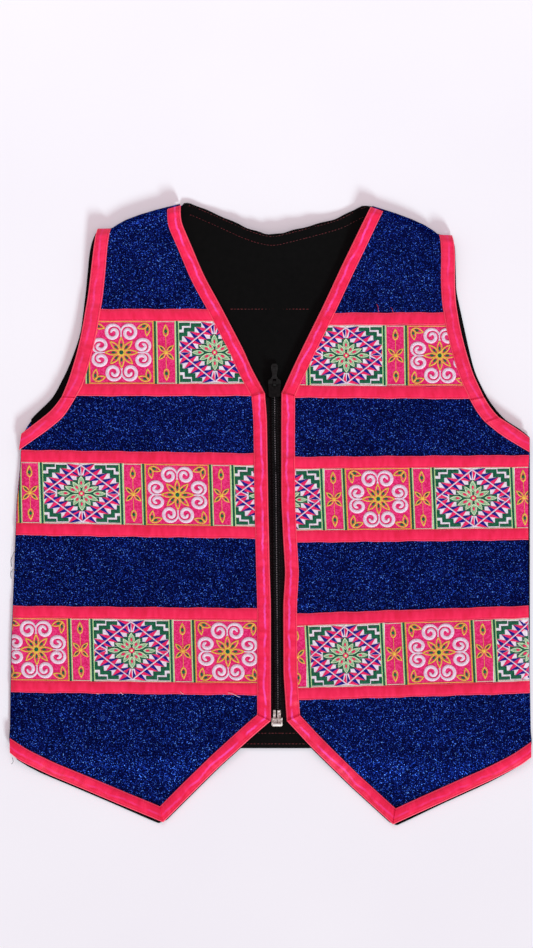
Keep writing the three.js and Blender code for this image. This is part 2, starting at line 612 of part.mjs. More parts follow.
function add(name, geometry, material, parent = vest) {
  const mesh = new THREE.Mesh(geometry, material);
  mesh.name = name;
  parent.add(mesh);
  return mesh;
}

add('back_shell', backPlate(backOutline(), 0), MATERIALS.glitter);
add('back_lining', backPlate(backLiningOutline(), BACK_LINING_Z), MATERIALS.lining);

for (const [hand, front] of Object.entries({ right: RIGHT, left: LEFT })) {
  const armhole = ARMHOLE_RIBBONS[hand];
  add(`${hand}_front_shell`, frontShell(front), MATERIALS.glitter);
  add(`${hand}_front_lining`, frontLining(front), MATERIALS.lining);
  add(`${hand}_edge_ribbon`, ribbonWall(front, edgeStations(front)), MATERIALS.satin);
  add(`${hand}_armhole_ribbon`, ribbonWall(front, armhole), MATERIALS.satin);
  for (const band of BANDS[hand]) {
    const name = `${hand}_${band.name}`;
    const lower = bandWall(front, band, armhole, 0, STRIP_HEIGHT, 2);
    const upper = bandWall(front, band, armhole, -STRIP_HEIGHT, -0.001, 2);
    const middle = bandWall(front, band, armhole, STRIP_HEIGHT + GAP, -STRIP_HEIGHT - GAP, 4);
    add(`${name}_lower_strip`, lower, MATERIALS.satin);
    add(`${name}_embroidery`, middle, MATERIALS.embroidery);
    add(`${name}_upper_strip`, upper, MATERIALS.satin);
  }
  const half = GAP / 2;
  const tape = zipStrip(front.sign, half, TAPE_WIDTH, ZIP_TOP, ZIP_BOTTOM, FRONT_LINING_Z, CLOTH);
  const coil = zipStrip(front.sign, half, half + COIL_WIDTH, COIL_TOP, COIL_BOTTOM, FRONT_Z, COIL_HEIGHT);
  add(`${hand}_zip_tape`, tape, MATERIALS.zip);
  add(`${hand}_zip_coil`, coil, MATERIALS.zip);
}

const sliderGroup = new THREE.Group();
sliderGroup.position.set(SLIDER.x, SLIDER.y, 0);
add('zip_slider', slider(), MATERIALS.blackMetal, sliderGroup);
const pivot = new THREE.Group();
pivot.position.set(0, BRIDGE.y, PIVOT_Z);
pivot.rotation.x = -tabDroop();
add('zip_pull_tab', pullTab(), MATERIALS.blackMetal, pivot);
sliderGroup.add(pivot);
vest.add(sliderGroup);

add('zip_box', zipBox(), MATERIALS.silver);
add('zip_insert_pin', pinBar(PINS.insert), MATERIALS.silver);
add('zip_box_pin', pinBar(PINS.box), MATERIALS.silver);

export default vest;
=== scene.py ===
# A child's zip-front vest with embroidered ribbon bands, laid flat on its back, front up.
# The garment's own lengths are in millimetres. X runs across it, with the wearer's left on +X,
# Y from hem to neck, and Z up from the surface that it lies on.
import math

import bpy
import numpy as np
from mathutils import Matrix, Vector


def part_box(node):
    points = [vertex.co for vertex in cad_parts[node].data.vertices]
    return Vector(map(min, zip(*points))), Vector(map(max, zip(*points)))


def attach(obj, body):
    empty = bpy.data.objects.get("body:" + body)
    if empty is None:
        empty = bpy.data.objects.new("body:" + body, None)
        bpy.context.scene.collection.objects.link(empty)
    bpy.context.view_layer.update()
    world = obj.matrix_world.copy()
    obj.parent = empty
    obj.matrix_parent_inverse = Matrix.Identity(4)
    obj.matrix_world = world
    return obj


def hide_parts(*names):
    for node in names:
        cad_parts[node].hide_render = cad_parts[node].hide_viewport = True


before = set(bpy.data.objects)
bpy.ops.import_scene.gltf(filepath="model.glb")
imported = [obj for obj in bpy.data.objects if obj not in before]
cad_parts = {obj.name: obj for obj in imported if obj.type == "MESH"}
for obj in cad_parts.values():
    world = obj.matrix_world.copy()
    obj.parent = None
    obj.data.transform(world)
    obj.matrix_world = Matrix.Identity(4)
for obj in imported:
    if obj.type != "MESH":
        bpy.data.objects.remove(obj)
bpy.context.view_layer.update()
MM = 0.001

# Layers, from the surface up
CLOTH = 1.0                     # thickness of a solid layer
GAP = 0.3                       # room between two layers
STEP = CLOTH + GAP
BACK_LINING_TOP = STEP + CLOTH
FRONT_LINING_TOP = 2 * STEP + CLOTH
FRONT_Z = 3 * STEP
FACE_Z = FRONT_Z + CLOTH
SEAM_Z = 1.95                   # outer face of a front where it rolls down onto the back
THIN = 0.9                      # thickness of the cloth shells

# How the cloth lies
SIDE_ROLL = 5.5
SHOULDER_ROLL = 7
SHOULDER_RISE = 2.4
SHOULDER_SLOPE = 55
WAVE = 0.5                      # half the height of the broad swells
POINT_DROP = 2 * STEP           # the points sink past the back's hem to the surface
DROP_START = -178
DROP_LENGTH = 28
SEAM_END = 4

# Trim
EDGE_RIBBON = 10
WRAP_INSET = 0.6                # the cloth stops this far inside a ribbon's folded edge
DIAGONAL_PEEK = 1.6
STRIP = 9.1                     # height of a band's pink strip
BAND_LIFT = 0.6                 # how far a band lifts the ribbon that crosses its end
UNDER_RIBBON = 4                # a band runs on under the ribbons by this much
HALF_CHEST = 190
GROUND_TOP = 0.4                # the embroidered ground's two sides, above the cloth
GROUND_FOOT = 0.08
STITCH_MARGIN = 0.3             # the embroidery stops this far inside a band's ends
FOLD_HEIGHT = 0.8               # a mitre's upper layer lies this much above the lower one

# Linings
LINING_INSET = 0.8              # a front's lining stops this far inside its cloth
LINING_TIP = 2.2                # and reaches this far past its point
NECK_RISE = 3.2                 # how far the back's neck edge stands up off the surface

# Zip
TAPE_WIDTH = 15
ZIP_TOP = 87.2
ZIP_BOTTOM = -152.8
COIL_TOP = 89.5
COIL_BOTTOM = -146.9
COIL_PITCH = 1.7
TURN_STEPS = 10                 # points round each turn of the coil

YOKE = 150                      # the rows of a front turn with the shoulder above this height

# The picture is 400 by 711 mm on the vest's face, seen from straight above
PICTURE_CENTRE = (-3.0, 29.8)
PICTURE_HEIGHT = 711
LENS = 50
SENSOR = 36


def table(*rows):
    return np.array(rows, float)


# The two fronts, as a cutter would draw them. neck runs from the neck point down the neck edge and the
# centre front and along the diagonal to the point; side runs from the shoulder down the armhole and the
# side seam and along the hem to the same point. Waves are rows of x, y, width and length. Creases are
# rows of x, y, direction in degrees, length, width and height, a trough where the height is negative.
# hem_peek says how far the lining shows past the hem: rows of y and the distance across the garment.
# ribbon_top and corner are the outer and inner points where the edge ribbon starts and ends. armhole has
# such pairs all the way down. A band has its limits at the centre and at the side, and its tiles' places.
RIGHT = dict(
    hand="right", sign=-1,
    neck=table(
        [-67.5, 233], [-67.5, 220.5], [-60, 202], [-52.5, 184], [-48.5, 175.5], [-38.5, 157.5],
        [-20.5, 123], [-14.5, 109], [-4.5, 90.6], [-3, 73], [-2, 10], [-0.8, -44], [0, -68], [0, -155],
        [-12.8, -166], [-37.5, -188.5], [-80.6, -231.6]),
    side=table(
        [-129.5, 214.5], [-131.5, 211], [-133, 195], [-135, 175], [-138, 154], [-141.5, 135],
        [-147.5, 109], [-152.5, 96], [-156.6, 87], [-164, 77.5], [-175.4, 68.5], [-187, 60], [-187.2, 46],
        [-191, 10], [-192.9, -44], [-195.2, -100], [-196, -160], [-196, -173], [-194.8, -179],
        [-189, -184.5],
        [-166, -196], [-113, -218.5], [-81.6, -232.2]),
    mitres=[(-4.5, 90.6), (0, -155), (-80.6, -231.6)],
    side_corners=[(-187, 60), (-196, -173)],
    shoulder=((-129.5, 214.5), (-67.5, 233)),
    ribbon_top=[((-67.6, 231.4), (-77.4, 228.5)), ((-67.4, 219), (-77.1, 216.1))],
    seam=(47, -164),
    corner=((-195.4, -179), (-195.4, -168.2)),
    hem_peek=table([-192, 5.2], [-187, 3.2], [-182, 2.2], [-178, 0]),
    armhole=[
        ((-129.8, 214.1), (-119.7, 214.2)), ((-132, 200), (-121.9, 201)), ((-134.5, 180), (-123.8, 180)),
        ((-136.8, 162), (-125.8, 162)), ((-141.3, 136), (-130.2, 135)), ((-144.4, 122), (-134, 119)),
        ((-151, 100), (-140.5, 96)), ((-156.5, 87), (-146, 87)), ((-163.8, 77.5), (-154.6, 72.8)),
        ((-175.2, 68.5), (-165.8, 63.7)), ((-181.6, 63.8), (-172, 59.2)), ((-186.8, 59.8), (-188.4, 47.8))],
    tucks=[(-156.5, 87)],
    waves=table([-120, 40, 150, 210], [-60, -130, 190, 130]),
    creases=table(
        [-150, 62, 38, 70, 7, -0.5], [-118, 74, 12, 90, 9, 0.45], [-62, 66, -8, 80, 8, -0.4],
        [-95, 182, 62, 60, 7, -0.35], [-140, -44, 6, 90, 9, 0.5], [-70, -56, -14, 80, 8, -0.45],
        [-22, -38, 70, 50, 6, 0.35], [-150, -158, 24, 80, 8, -0.45], [-60, -170, -38, 90, 9, 0.5],
        [-110, -196, -20, 70, 7, -0.35], [-178, -20, 84, 70, 6, -0.4]),
    bands=[
        dict(name="top", low=(88.3, 88.3), high=(153.6, 153.6), at_armhole=True, lean=0.02,
             tiles=[("scroll", -111.8), ("bud", -78.3), ("diamond", -41.9)]),
        dict(name="middle", low=(-18.8, -16), high=(45.2, 48), at_armhole=False, lean=0.03,
             tiles=[("scroll", -213.6), ("bud", -180.3), ("diamond", -139.7), ("bud", -102.8),
                    ("scroll", -69.2), ("bud", -36.7), ("diamond", 1.9)]),
        dict(name="bottom", low=(-136, -134), high=(-71, -69), at_armhole=False, lean=0.03,
             tiles=[("scroll", -175.5), ("bud", -142.4), ("diamond", -102.4), ("bud", -65.6),
                    ("scroll", -32.1)]),
    ],
)
LEFT = dict(
    hand="left", sign=1,
    neck=table(
        [76, 231.5], [70.5, 220.5], [61.5, 202], [53, 184.5], [40.5, 157.5], [23.5, 123], [15, 105],
        [8.4, 90.4], [8.3, 60], [8.4, 10], [9.8, -20], [11.3, -44], [9.8, -68], [10, -120],
        [12.4, -155], [29, -173], [60, -204], [92, -233.2]),
    side=table(
        [136, 209.4], [137.5, 205], [138, 185], [138, 168], [140, 149], [143.5, 131.5], [148.5, 114],
        [153, 100.5], [160, 87], [166, 77.5], [171.4, 72], [178, 67.8], [187.6, 61.8], [194.4, 56],
        [194.2, 10],
        [194.4, -68], [195.4, -140], [196, -176], [195.6, -181], [188, -188.5], [165, -200.5],
        [125, -218.5], [93, -233.8]),
    mitres=[(8.4, 90.4), (12.4, -155), (92, -233.2)],
    side_corners=[(194.4, 56), (196, -176)],
    shoulder=((136, 209.4), (76, 231.5)),
    ribbon_top=[((75.4, 230.2), (84.5, 226.9)), ((69.6, 218.6), (78.8, 215.2))],
    seam=(45, -166),
    corner=((195.4, -182.5), (195.4, -171)),
    hem_peek=table([-206, 4.4], [-196, 2.8], [-190, 1.6], [-184, 0.6], [-180, 0]),
    armhole=[
        ((136.4, 209.2), (126.6, 209.5)), ((137.8, 195), (127.7, 196)), ((137.8, 175), (127.5, 175)),
        ((138.5, 160), (128.5, 158)), ((141.4, 141), (131.5, 139)), ((145.8, 123), (136, 120)),
        ((151.3, 105), (142, 101)), ((159.8, 87), (149.5, 85)), ((165.8, 77.6), (155.5, 74.5)),
        ((171.2, 72.1), (161, 68.5)), ((178, 67.8), (169.8, 61)), ((187.2, 62), (180.4, 54.2)),
        ((194.1, 56.8), (194.1, 46.2))],
    tucks=[(159.8, 87), (171.2, 72.1)],
    waves=table([115, 60, 170, 180], [70, -110, 150, 170]),
    creases=table(
        [148, 60, -40, 70, 7, -0.5], [112, 70, -10, 90, 9, 0.45], [50, 64, 9, 70, 8, -0.4],
        [100, 184, -60, 60, 7, -0.35], [146, -46, -8, 90, 9, 0.5], [70, -52, 13, 90, 8, -0.45],
        [28, -30, -72, 50, 6, 0.35], [152, -160, -22, 80, 8, 0.45], [66, -172, 36, 90, 9, -0.45],
        [118, -198, 22, 70, 7, 0.4], [180, -50, 88, 70, 6, -0.35]),
    bands=[
        dict(name="top", low=(87.2, 85.6), high=(150.4, 151.4), at_armhole=True, lean=0.015,
             tiles=[("bud", 19.6), ("diamond", 57.8), ("bud", 93.8), ("scroll", 126.8)]),
        dict(name="middle", low=(-21.8, -19.7), high=(42.6, 44), at_armhole=False, lean=0.045,
             tiles=[("diamond", 10.1), ("bud", 47.6), ("scroll", 80.8), ("bud", 113.9),
                    ("diamond", 153.6), ("bud", 190.1)]),
        dict(name="bottom", low=(-140.3, -134.8), high=(-75.4, -69), at_armhole=False, lean=0.05,
             tiles=[("bud", 19.9), ("diamond", 56.4), ("bud", 92.6), ("scroll", 126.8), ("bud", 159.9),
                    ("diamond", 196.9)]),
    ],
)
FRONTS = (RIGHT, LEFT)

# The back: its neck edge, and its sides from the shoulder down the armhole and the side seam
BACK_NECK = table(
    [-67.5, 233], [-62.8, 234.2], [-54.4, 231.3], [-36.4, 223.3], [-17.6, 214.5], [-7.9, 211], [1.9, 209],
    [19, 213.3], [40, 219], [50.6, 222.2], [65.6, 230.2], [71.9, 232.6], [76, 231.5])
BACK_RIGHT = table(
    [-129.5, 214.5], [-133.5, 208], [-136, 198], [-139, 166], [-142.8, 136], [-147, 123], [-152.3, 109],
    [-163.5, 87], [-173.3, 78], [-182.3, 69], [-187, 60], [-187, 46], [-190.6, 10], [-192.6, -44],
    [-195, -100])
BACK_LEFT = table(
    [136, 209.4], [138.9, 204], [139.6, 168], [142, 157], [149.3, 123.4], [153.2, 107.8], [156.4, 100.3],
    [160.2, 92.8], [164, 85.3], [169.9, 77.8], [176, 70.6], [188.6, 63.2], [195, 57.4], [194.2, 50],
    [194.2, 10], [194.2, -68], [195.2, -140])
UNDERARMS = [(-187, 60), (195, 57.4)]
BACK_HEM = -176.5
BACK_ROWS = 44
NEAR_TOP = np.array([0, 0.6, 1.5, 3, 6])      # closer rows at the back's upper edge, and at its hem
NEAR_HEM = np.array([3, 1.2, 0.4, 0])
LINING_CREASES = table(
    [-30, 185, -52, 60, 8, 0.3], [34, 178, 48, 60, 8, -0.3], [4, 150, 85, 70, 9, 0.25],
    [-8, 200, 12, 50, 6, -0.25])
# Lines of stitches on the back's lining: rows of the distance from the neck edge and the points left off
# at both ends, and rows of the two ends' x and the line's y
NECK_SEAMS = [(1.7, 2), (8.2, 3)]
LEVEL_SEAMS = [(-32, 30, 153.8), (-14, 28, -165.1), (-22, 38, -173.1)]

# The shoulder seam: rows of the share from armhole to neck and the distance past a straight line
SHOULDER_SHAPE = table(
    [0, 0], [0.09, -1.7], [0.16, -2.7], [0.24, -1.0], [0.34, 0.4], [0.5, 1.1], [0.7, 1.1],
    [0.85, 0.6], [1, 0])

# Line of the zip, from its top down
ZIP_LINE = table([3.1, 92], [3.2, 63], [4.1, 17], [4.5, -30], [5.5, -133], [5.6, -160])


# Curves
def smooth(value, low=0.0, high=1.0):
    t = np.clip((np.asarray(value, float) - low) / (high - low), 0, 1)
    return t * t * (3 - 2 * t)


def rolled(distance, width):
    """Share of the full height at a distance from a rolled edge."""
    return np.sin(np.pi / 2 * np.clip(distance / width, -1, 1))


def x_at(line, y):
    """x of a line that runs down the garment, at a height y."""
    return np.interp(-np.asarray(y, float), -line[:, 1], line[:, 0])


def lengths(points):
    """Distance along a line at each of its points."""
    steps = np.linalg.norm(np.diff(points, axis=0), axis=1)
    return np.concatenate([[0], np.cumsum(steps)])


def divided(points, step):
    """A line with points put in, about step apart, and where its own points are in it."""
    result, marks = [points[0]], [0]
    for before, after in zip(points[:-1], points[1:]):
        count = max(1, round(np.linalg.norm(after[:2] - before[:2]) / step))
        result += [before + (after - before) * (i / count) for i in range(1, count + 1)]
        marks.append(len(result) - 1)
    return np.array(result), marks


def eased(points, corners, reach):
    """A line's points averaged with their neighbours, except at its corners and ends."""
    result = points.copy()
    stops = [0, *corners, len(points) - 1]
    for start, end in zip(stops[:-1], stops[1:]):
        span = points[start:end + 1]
        n = min(reach, len(span) - 1)
        if n < 1:
            continue
        padded = np.concatenate([2 * span[0] - span[n:0:-1], span, 2 * span[-1] - span[-2:-n - 2:-1]])
        kernel = np.hanning(2 * n + 3)[1:-1]
        kernel /= kernel.sum()
        columns = [np.convolve(padded[:, k], kernel, "valid") for k in range(points.shape[1])]
        result[start:end + 1] = np.stack(columns, 1)
    return result


def curve(rows, corners=(), step=1.5, reach=6):
    """A cutter's line through rows of points, rounded off everywhere but at its corners."""
    points, marks = divided(rows, step)
    at = [marks[i] for i, row in enumerate(rows) if any(np.allclose(row[:2], c) for c in corners)]
    return eased(points, at, reach), at


for front in FRONTS:
    front["neck_line"], _ = curve(front["neck"], front["mitres"])
    front["side_line"], _ = curve(front["side"], front["side_corners"])


# Heights of the cloth
def shoulder_shape(front, x, y):
    """How far the shoulder seam bulges past a straight line, or falls short of it, beside a point."""
    (ax, ay), (bx, by) = front["shoulder"]
    share = ((x - ax) * (bx - ax) + (y - ay) * (by - ay)) / ((bx - ax) ** 2 + (by - ay) ** 2)
    return np.interp(share, SHOULDER_SHAPE[:, 0], SHOULDER_SHAPE[:, 1])


def below_shoulder(front, x, y):
    """How far below the shoulder seam a point is."""
    (ax, ay), (bx, by) = front["shoulder"]
    straight = front["sign"] * ((bx - ax) * (y - ay) - (by - ay) * (x - ax)) / math.hypot(bx - ax, by - ay)
    return straight + shoulder_shape(front, x, y)


def layer_lift(front, x, y):
    """How far a front's layers rise at the shoulder and sink past the back's hem."""
    rise = SHOULDER_RISE * (1 - smooth(below_shoulder(front, x, y), SHOULDER_ROLL, SHOULDER_SLOPE))
    return rise - POINT_DROP * smooth(DROP_START - y, 0, DROP_LENGTH)


def waves(front, x, y):
    """Broad low swells of the cloth."""
    height = 0
    for wx, wy, across, along in front["waves"]:
        u = np.minimum(np.abs(x - wx) / across, 0.5)
        v = np.minimum(np.abs(y - wy) / along, 0.5)
        height = height + 2 * WAVE * np.cos(np.pi * u) ** 2 * np.cos(np.pi * v) ** 2
    return height


def creases(rows, x, y):
    """Soft troughs and ridges, each fading out along its length and across its width."""
    height = 0
    for cx, cy, degrees, length, width, tall in rows:
        turn = math.radians(degrees)
        along = (x - cx) * math.cos(turn) + (y - cy) * math.sin(turn)
        across = (y - cy) * math.cos(turn) - (x - cx) * math.sin(turn)
        bend = across + 0.0016 * along ** 2
        fade = np.cos(np.pi / 2 * np.clip(2 * np.abs(along) / length, 0, 1)) ** 2
        height = height + tall * fade * np.exp(-(bend / width) ** 2)
    return height


def band_y(band, x, share):
    """Height on the garment of a line along a band, from its lower limit at 0 to its upper one at 1."""
    across = np.clip(np.abs(x) / HALF_CHEST, 0, 1)
    low = band["low"][0] + (band["low"][1] - band["low"][0]) * across
    high = band["high"][0] + (band["high"][1] - band["high"][0]) * across
    return low + (high - low) * share


def band_pull(front, x, y):
    """The stiff bands gather the cloth beside them into small uneven ripples."""
    distance = 60.0
    for band in front["bands"]:
        below = band_y(band, x, 0) - y
        above = y - band_y(band, x, 1)
        distance = np.minimum(distance, np.maximum(np.maximum(below, above), 0))
    ripple = np.sin(x / 2.9 + 1.3 * np.sin(x / 17)) + 0.7 * np.sin(x / 4.7 + 2 + 0.03 * y)
    return 0.16 * ripple * (0.35 + 0.65 * smooth(distance, 0, 2)) * np.exp(-distance / 9)


def face(front, x, y):
    """Height of a front's outer face."""
    full = FACE_Z + layer_lift(front, x, y) + waves(front, x, y)
    full = full + creases(front["creases"], x, y) + band_pull(front, x, y)
    from_side = front["sign"] * (x_at(front["side_line"], y) - x)
    top, bottom = front["seam"]
    sewn = smooth(y, bottom - SEAM_END, bottom + SEAM_END) * (1 - smooth(y, top - 3 * SEAM_END, top))
    side = 1 - sewn * (1 - rolled(from_side, SIDE_ROLL))
    shoulder = rolled(below_shoulder(front, x, y), SHOULDER_ROLL)
    return SEAM_Z + (full - SEAM_Z) * np.minimum(side, shoulder)


def band_lift(front, x, y):
    """How far the bands lift the ribbons that cross their ends."""
    lift = 0
    for band in front["bands"]:
        lift = lift + smooth(y, band_y(band, x, 0) - 3.5, band_y(band, x, 0) + 0.5) * (
            1 - smooth(y, band_y(band, x, 1) - 0.5, band_y(band, x, 1) + 3.5))
    return BAND_LIFT * lift


# Meshes
def build(name, points, faces, uvs, materials, slots=None, sharp=50):
    """A mesh object from points in millimetres, with a place along and across for each point."""
    mesh = bpy.data.meshes.new(name)
    mesh.from_pydata((np.asarray(points) * MM).tolist(), [], faces)
    layer = mesh.uv_layers.new(name="cloth")
    index = np.zeros(len(mesh.loops), np.int32)
    mesh.loops.foreach_get("vertex_index", index)
    layer.data.foreach_set("uv", np.asarray(uvs, np.float32)[index].ravel())
    for material in materials:
        mesh.materials.append(material)
    if slots is not None:
        mesh.polygons.foreach_set("material_index", np.asarray(slots, np.int32))
    mesh.validate()
    mesh.shade_smooth()
    mesh.set_sharp_from_angle(angle=math.radians(sharp))
    made = bpy.data.objects.new(name, mesh)
    bpy.context.scene.collection.objects.link(made)
    return made


def shell(name, x, y, top, bottom, materials, columns=None):
    """A closed thin shell over a grid of points. columns gives each column of faces its material."""
    rows, cols = x.shape
    upper = np.stack([x, y, top], -1).reshape(-1, 3)
    lower = np.stack([x, y, bottom], -1).reshape(-1, 3)
    at = np.arange(rows * cols).reshape(rows, cols)
    a, b, c, d = at[:-1, :-1], at[:-1, 1:], at[1:, 1:], at[1:, :-1]
    quads = np.stack([a, b, c, d], -1).reshape(-1, 4)
    ring = np.concatenate([at[0, :-1], at[:-1, -1], at[-1, :0:-1], at[:0:-1, 0]])
    after = np.roll(ring, -1)
    under = rows * cols
    rim = np.stack([ring, ring + under, after + under, after], -1)
    faces = np.concatenate([quads, quads[:, ::-1] + under, rim])
    (x0, y0), (x1, y1), (x2, y2) = [(x.flat[i], y.flat[i]) for i in (a[0, 0], b[0, 0], d[0, 0])]
    if (x1 - x0) * (y2 - y0) - (y1 - y0) * (x2 - x0) < 0:
        faces = faces[:, ::-1]
    uvs = np.stack([x, y], -1).reshape(-1, 2) / 100
    slots = None
    if columns is not None:
        face_columns = np.tile(np.asarray(columns), rows - 1)
        slots = np.concatenate([face_columns, face_columns, np.zeros(len(rim), int)])
    made = build(name, np.concatenate([upper, lower]), faces.tolist(), np.concatenate([uvs, uvs]),
                 materials, slots)
    ring_points = np.stack([x.flat[ring], y.flat[ring]], 1)
    ahead = np.roll(ring_points, -1, 0)
    area = abs((ring_points[:, 0] * ahead[:, 1] - ring_points[:, 1] * ahead[:, 0]).sum()) / 2
    size = np.ptp(ring_points, axis=0)
    return made, (size * MM).tolist(), area * MM ** 2


def puckers(rng, length, spacing, height):
    """Uneven cross ridges along a ribbon, as a function of the distances along and across it."""
    at = np.cumsum(rng.uniform(0.6, 1.5, int(2 * length / spacing)) * spacing)
    at = at[at < length]
    tall = rng.uniform(0.2, 1.0, len(at)) * height
    wide = rng.uniform(0.2, 0.4, len(at)) * spacing
    slant = rng.uniform(-0.12, 0.12, len(at))

    def relief(along, across):
        offset = (along[..., None] - at - slant * across[..., None]) / wide
        return (tall * np.exp(-offset ** 2)).sum(-1)
    return relief


# Sections of the ribbons: rows of the distance from the outer edge and the height. The first rows are the
# upper side, with a shallow groove where each line of stitching pulls the ribbon down.
RIBBON_TOP = table(
    [-0.25, -1.0], [-0.32, -0.3], [-0.25, 0.4], [0.05, 0.82], [0.5, 0.98], [1.0, 0.8], [1.5, 0.98],
    [3.2, 1.1], [5, 1.15], [6.8, 1.1], [8.5, 0.98], [9.0, 0.78], [9.45, 0.9], [9.85, 0.7], [10.0, 0.3])
RIBBON_UNDER = table([9.7, 0.12], [5, 0.12], [0.55, 0.12], [0.45, -1.0])
STRIP_TOP = table(
    [0, 0.12], [0.05, 0.5], [0.35, 0.72], [0.9, 0.56], [1.4, 0.74], [3, 0.84], [4.55, 0.88], [6.1, 0.84],
    [7.7, 0.74], [8.2, 0.56], [8.75, 0.7], [9.05, 0.5], [9.1, 0.12])
STRIP_UNDER = table([8.6, 0.06], [4.5, 0.06], [0.5, 0.06])


def folded(stations, folds):
    """Stations with one put in just after each fold, so that its upper layer ends in a step."""
    result, places = [], []
    for i, station in enumerate(stations):
        result.append(station)
        if i in folds:
            places.append(len(result) - 1)
            result.append(station + (stations[i + 1] - station) * 0.18)
    return np.array(result), places


class Ribbon:
    """A ribbon laid along a front, from its outer edge to its inner one."""

    def __init__(self, front, outer, inner, section, relief, lift=None, folds=()):
        self.front, self.outer, self.inner = front, outer, inner
        self.top, self.under = section
        self.width = self.top[:, 0].max()
        self.along = lengths((outer + inner) / 2)
        self.relief = relief
        self.lift = lift
        self.folds = [self.along[i] for i in folds]

    def height(self, x, y, along, across, section_height, raised):
        """Height of a point of the ribbon, raised by its puckers and folds where it is on the upper side."""
        crown = np.sin(np.pi * np.clip(across / self.width, 0, 1))
        extra = self.relief(along, across) * crown
        for at in self.folds:
            past = along - at
            extra = extra + FOLD_HEIGHT * (past > 0.01) * np.exp(-np.maximum(past, 0) / 8)
        z = face(self.front, x, y) + section_height + np.where(raised, extra, 0)
        if self.lift is not None:
            z = z + self.lift(self.front, x, y)
        return z

    def line(self, across, start=0.0, end=0.0):
        """Points of a line along the ribbon on its upper side, and the distance along at each."""
        point = self.outer + (self.inner - self.outer) * (across / self.width)
        section_height = np.interp(across, self.top[:, 0], self.top[:, 1])
        z = self.height(point[:, 0], point[:, 1], self.along, np.full(len(point), across),
                        section_height, True)
        keep = (self.along >= start) & (self.along <= self.along[-1] - end)
        return np.column_stack([point, z])[keep]

    def make(self, name, material):
        section = np.concatenate([self.top, self.under])
        raised = np.arange(len(section)) < len(self.top)
        share = section[:, 0] / self.width
        point = self.outer[:, None] + (self.inner - self.outer)[:, None] * share[None, :, None]
        along = np.repeat(self.along[:, None], len(section), 1)
        across = np.repeat(section[None, :, 0], len(along), 0)
        z = self.height(point[..., 0], point[..., 1], along, across, section[None, :, 1], raised[None])
        rows, cols = z.shape
        points = np.concatenate([point, z[..., None]], -1).reshape(-1, 3)
        at = np.arange(rows * cols).reshape(rows, cols)
        a, b = at[:-1], np.roll(at, -1, 1)[:-1]
        c, d = np.roll(at, -1, 1)[1:], at[1:]
        faces = np.stack([a, b, c, d], -1).reshape(-1, 4).tolist()
        faces += [at[0, ::-1].tolist(), at[-1].tolist()]
        (ox, oy), (ix, iy), (nx, ny) = self.outer[0], self.inner[0], self.outer[1]
        if (ix - ox) * (ny - oy) - (iy - oy) * (nx - ox) < 0:
            faces = [f[::-1] for f in faces]
        uvs = np.stack([along / 100, np.repeat(share[None], rows, 0)], -1).reshape(-1, 2)
        made = build(name, points, faces, uvs, [material])
        return made, [self.width * 1.1 * MM, float(self.along[-1]) * MM]


# Raised stitching
WIDE_SECTION = table([-1, 0], [-0.8, 0.75], [0, 1], [0.8, 0.75], [1, 0])
NARROW_SECTION = table([-1, 0], [-0.55, 1], [0.55, 1], [1, 0])
SUNK = 0.06                     # how far stitches sink into the ground


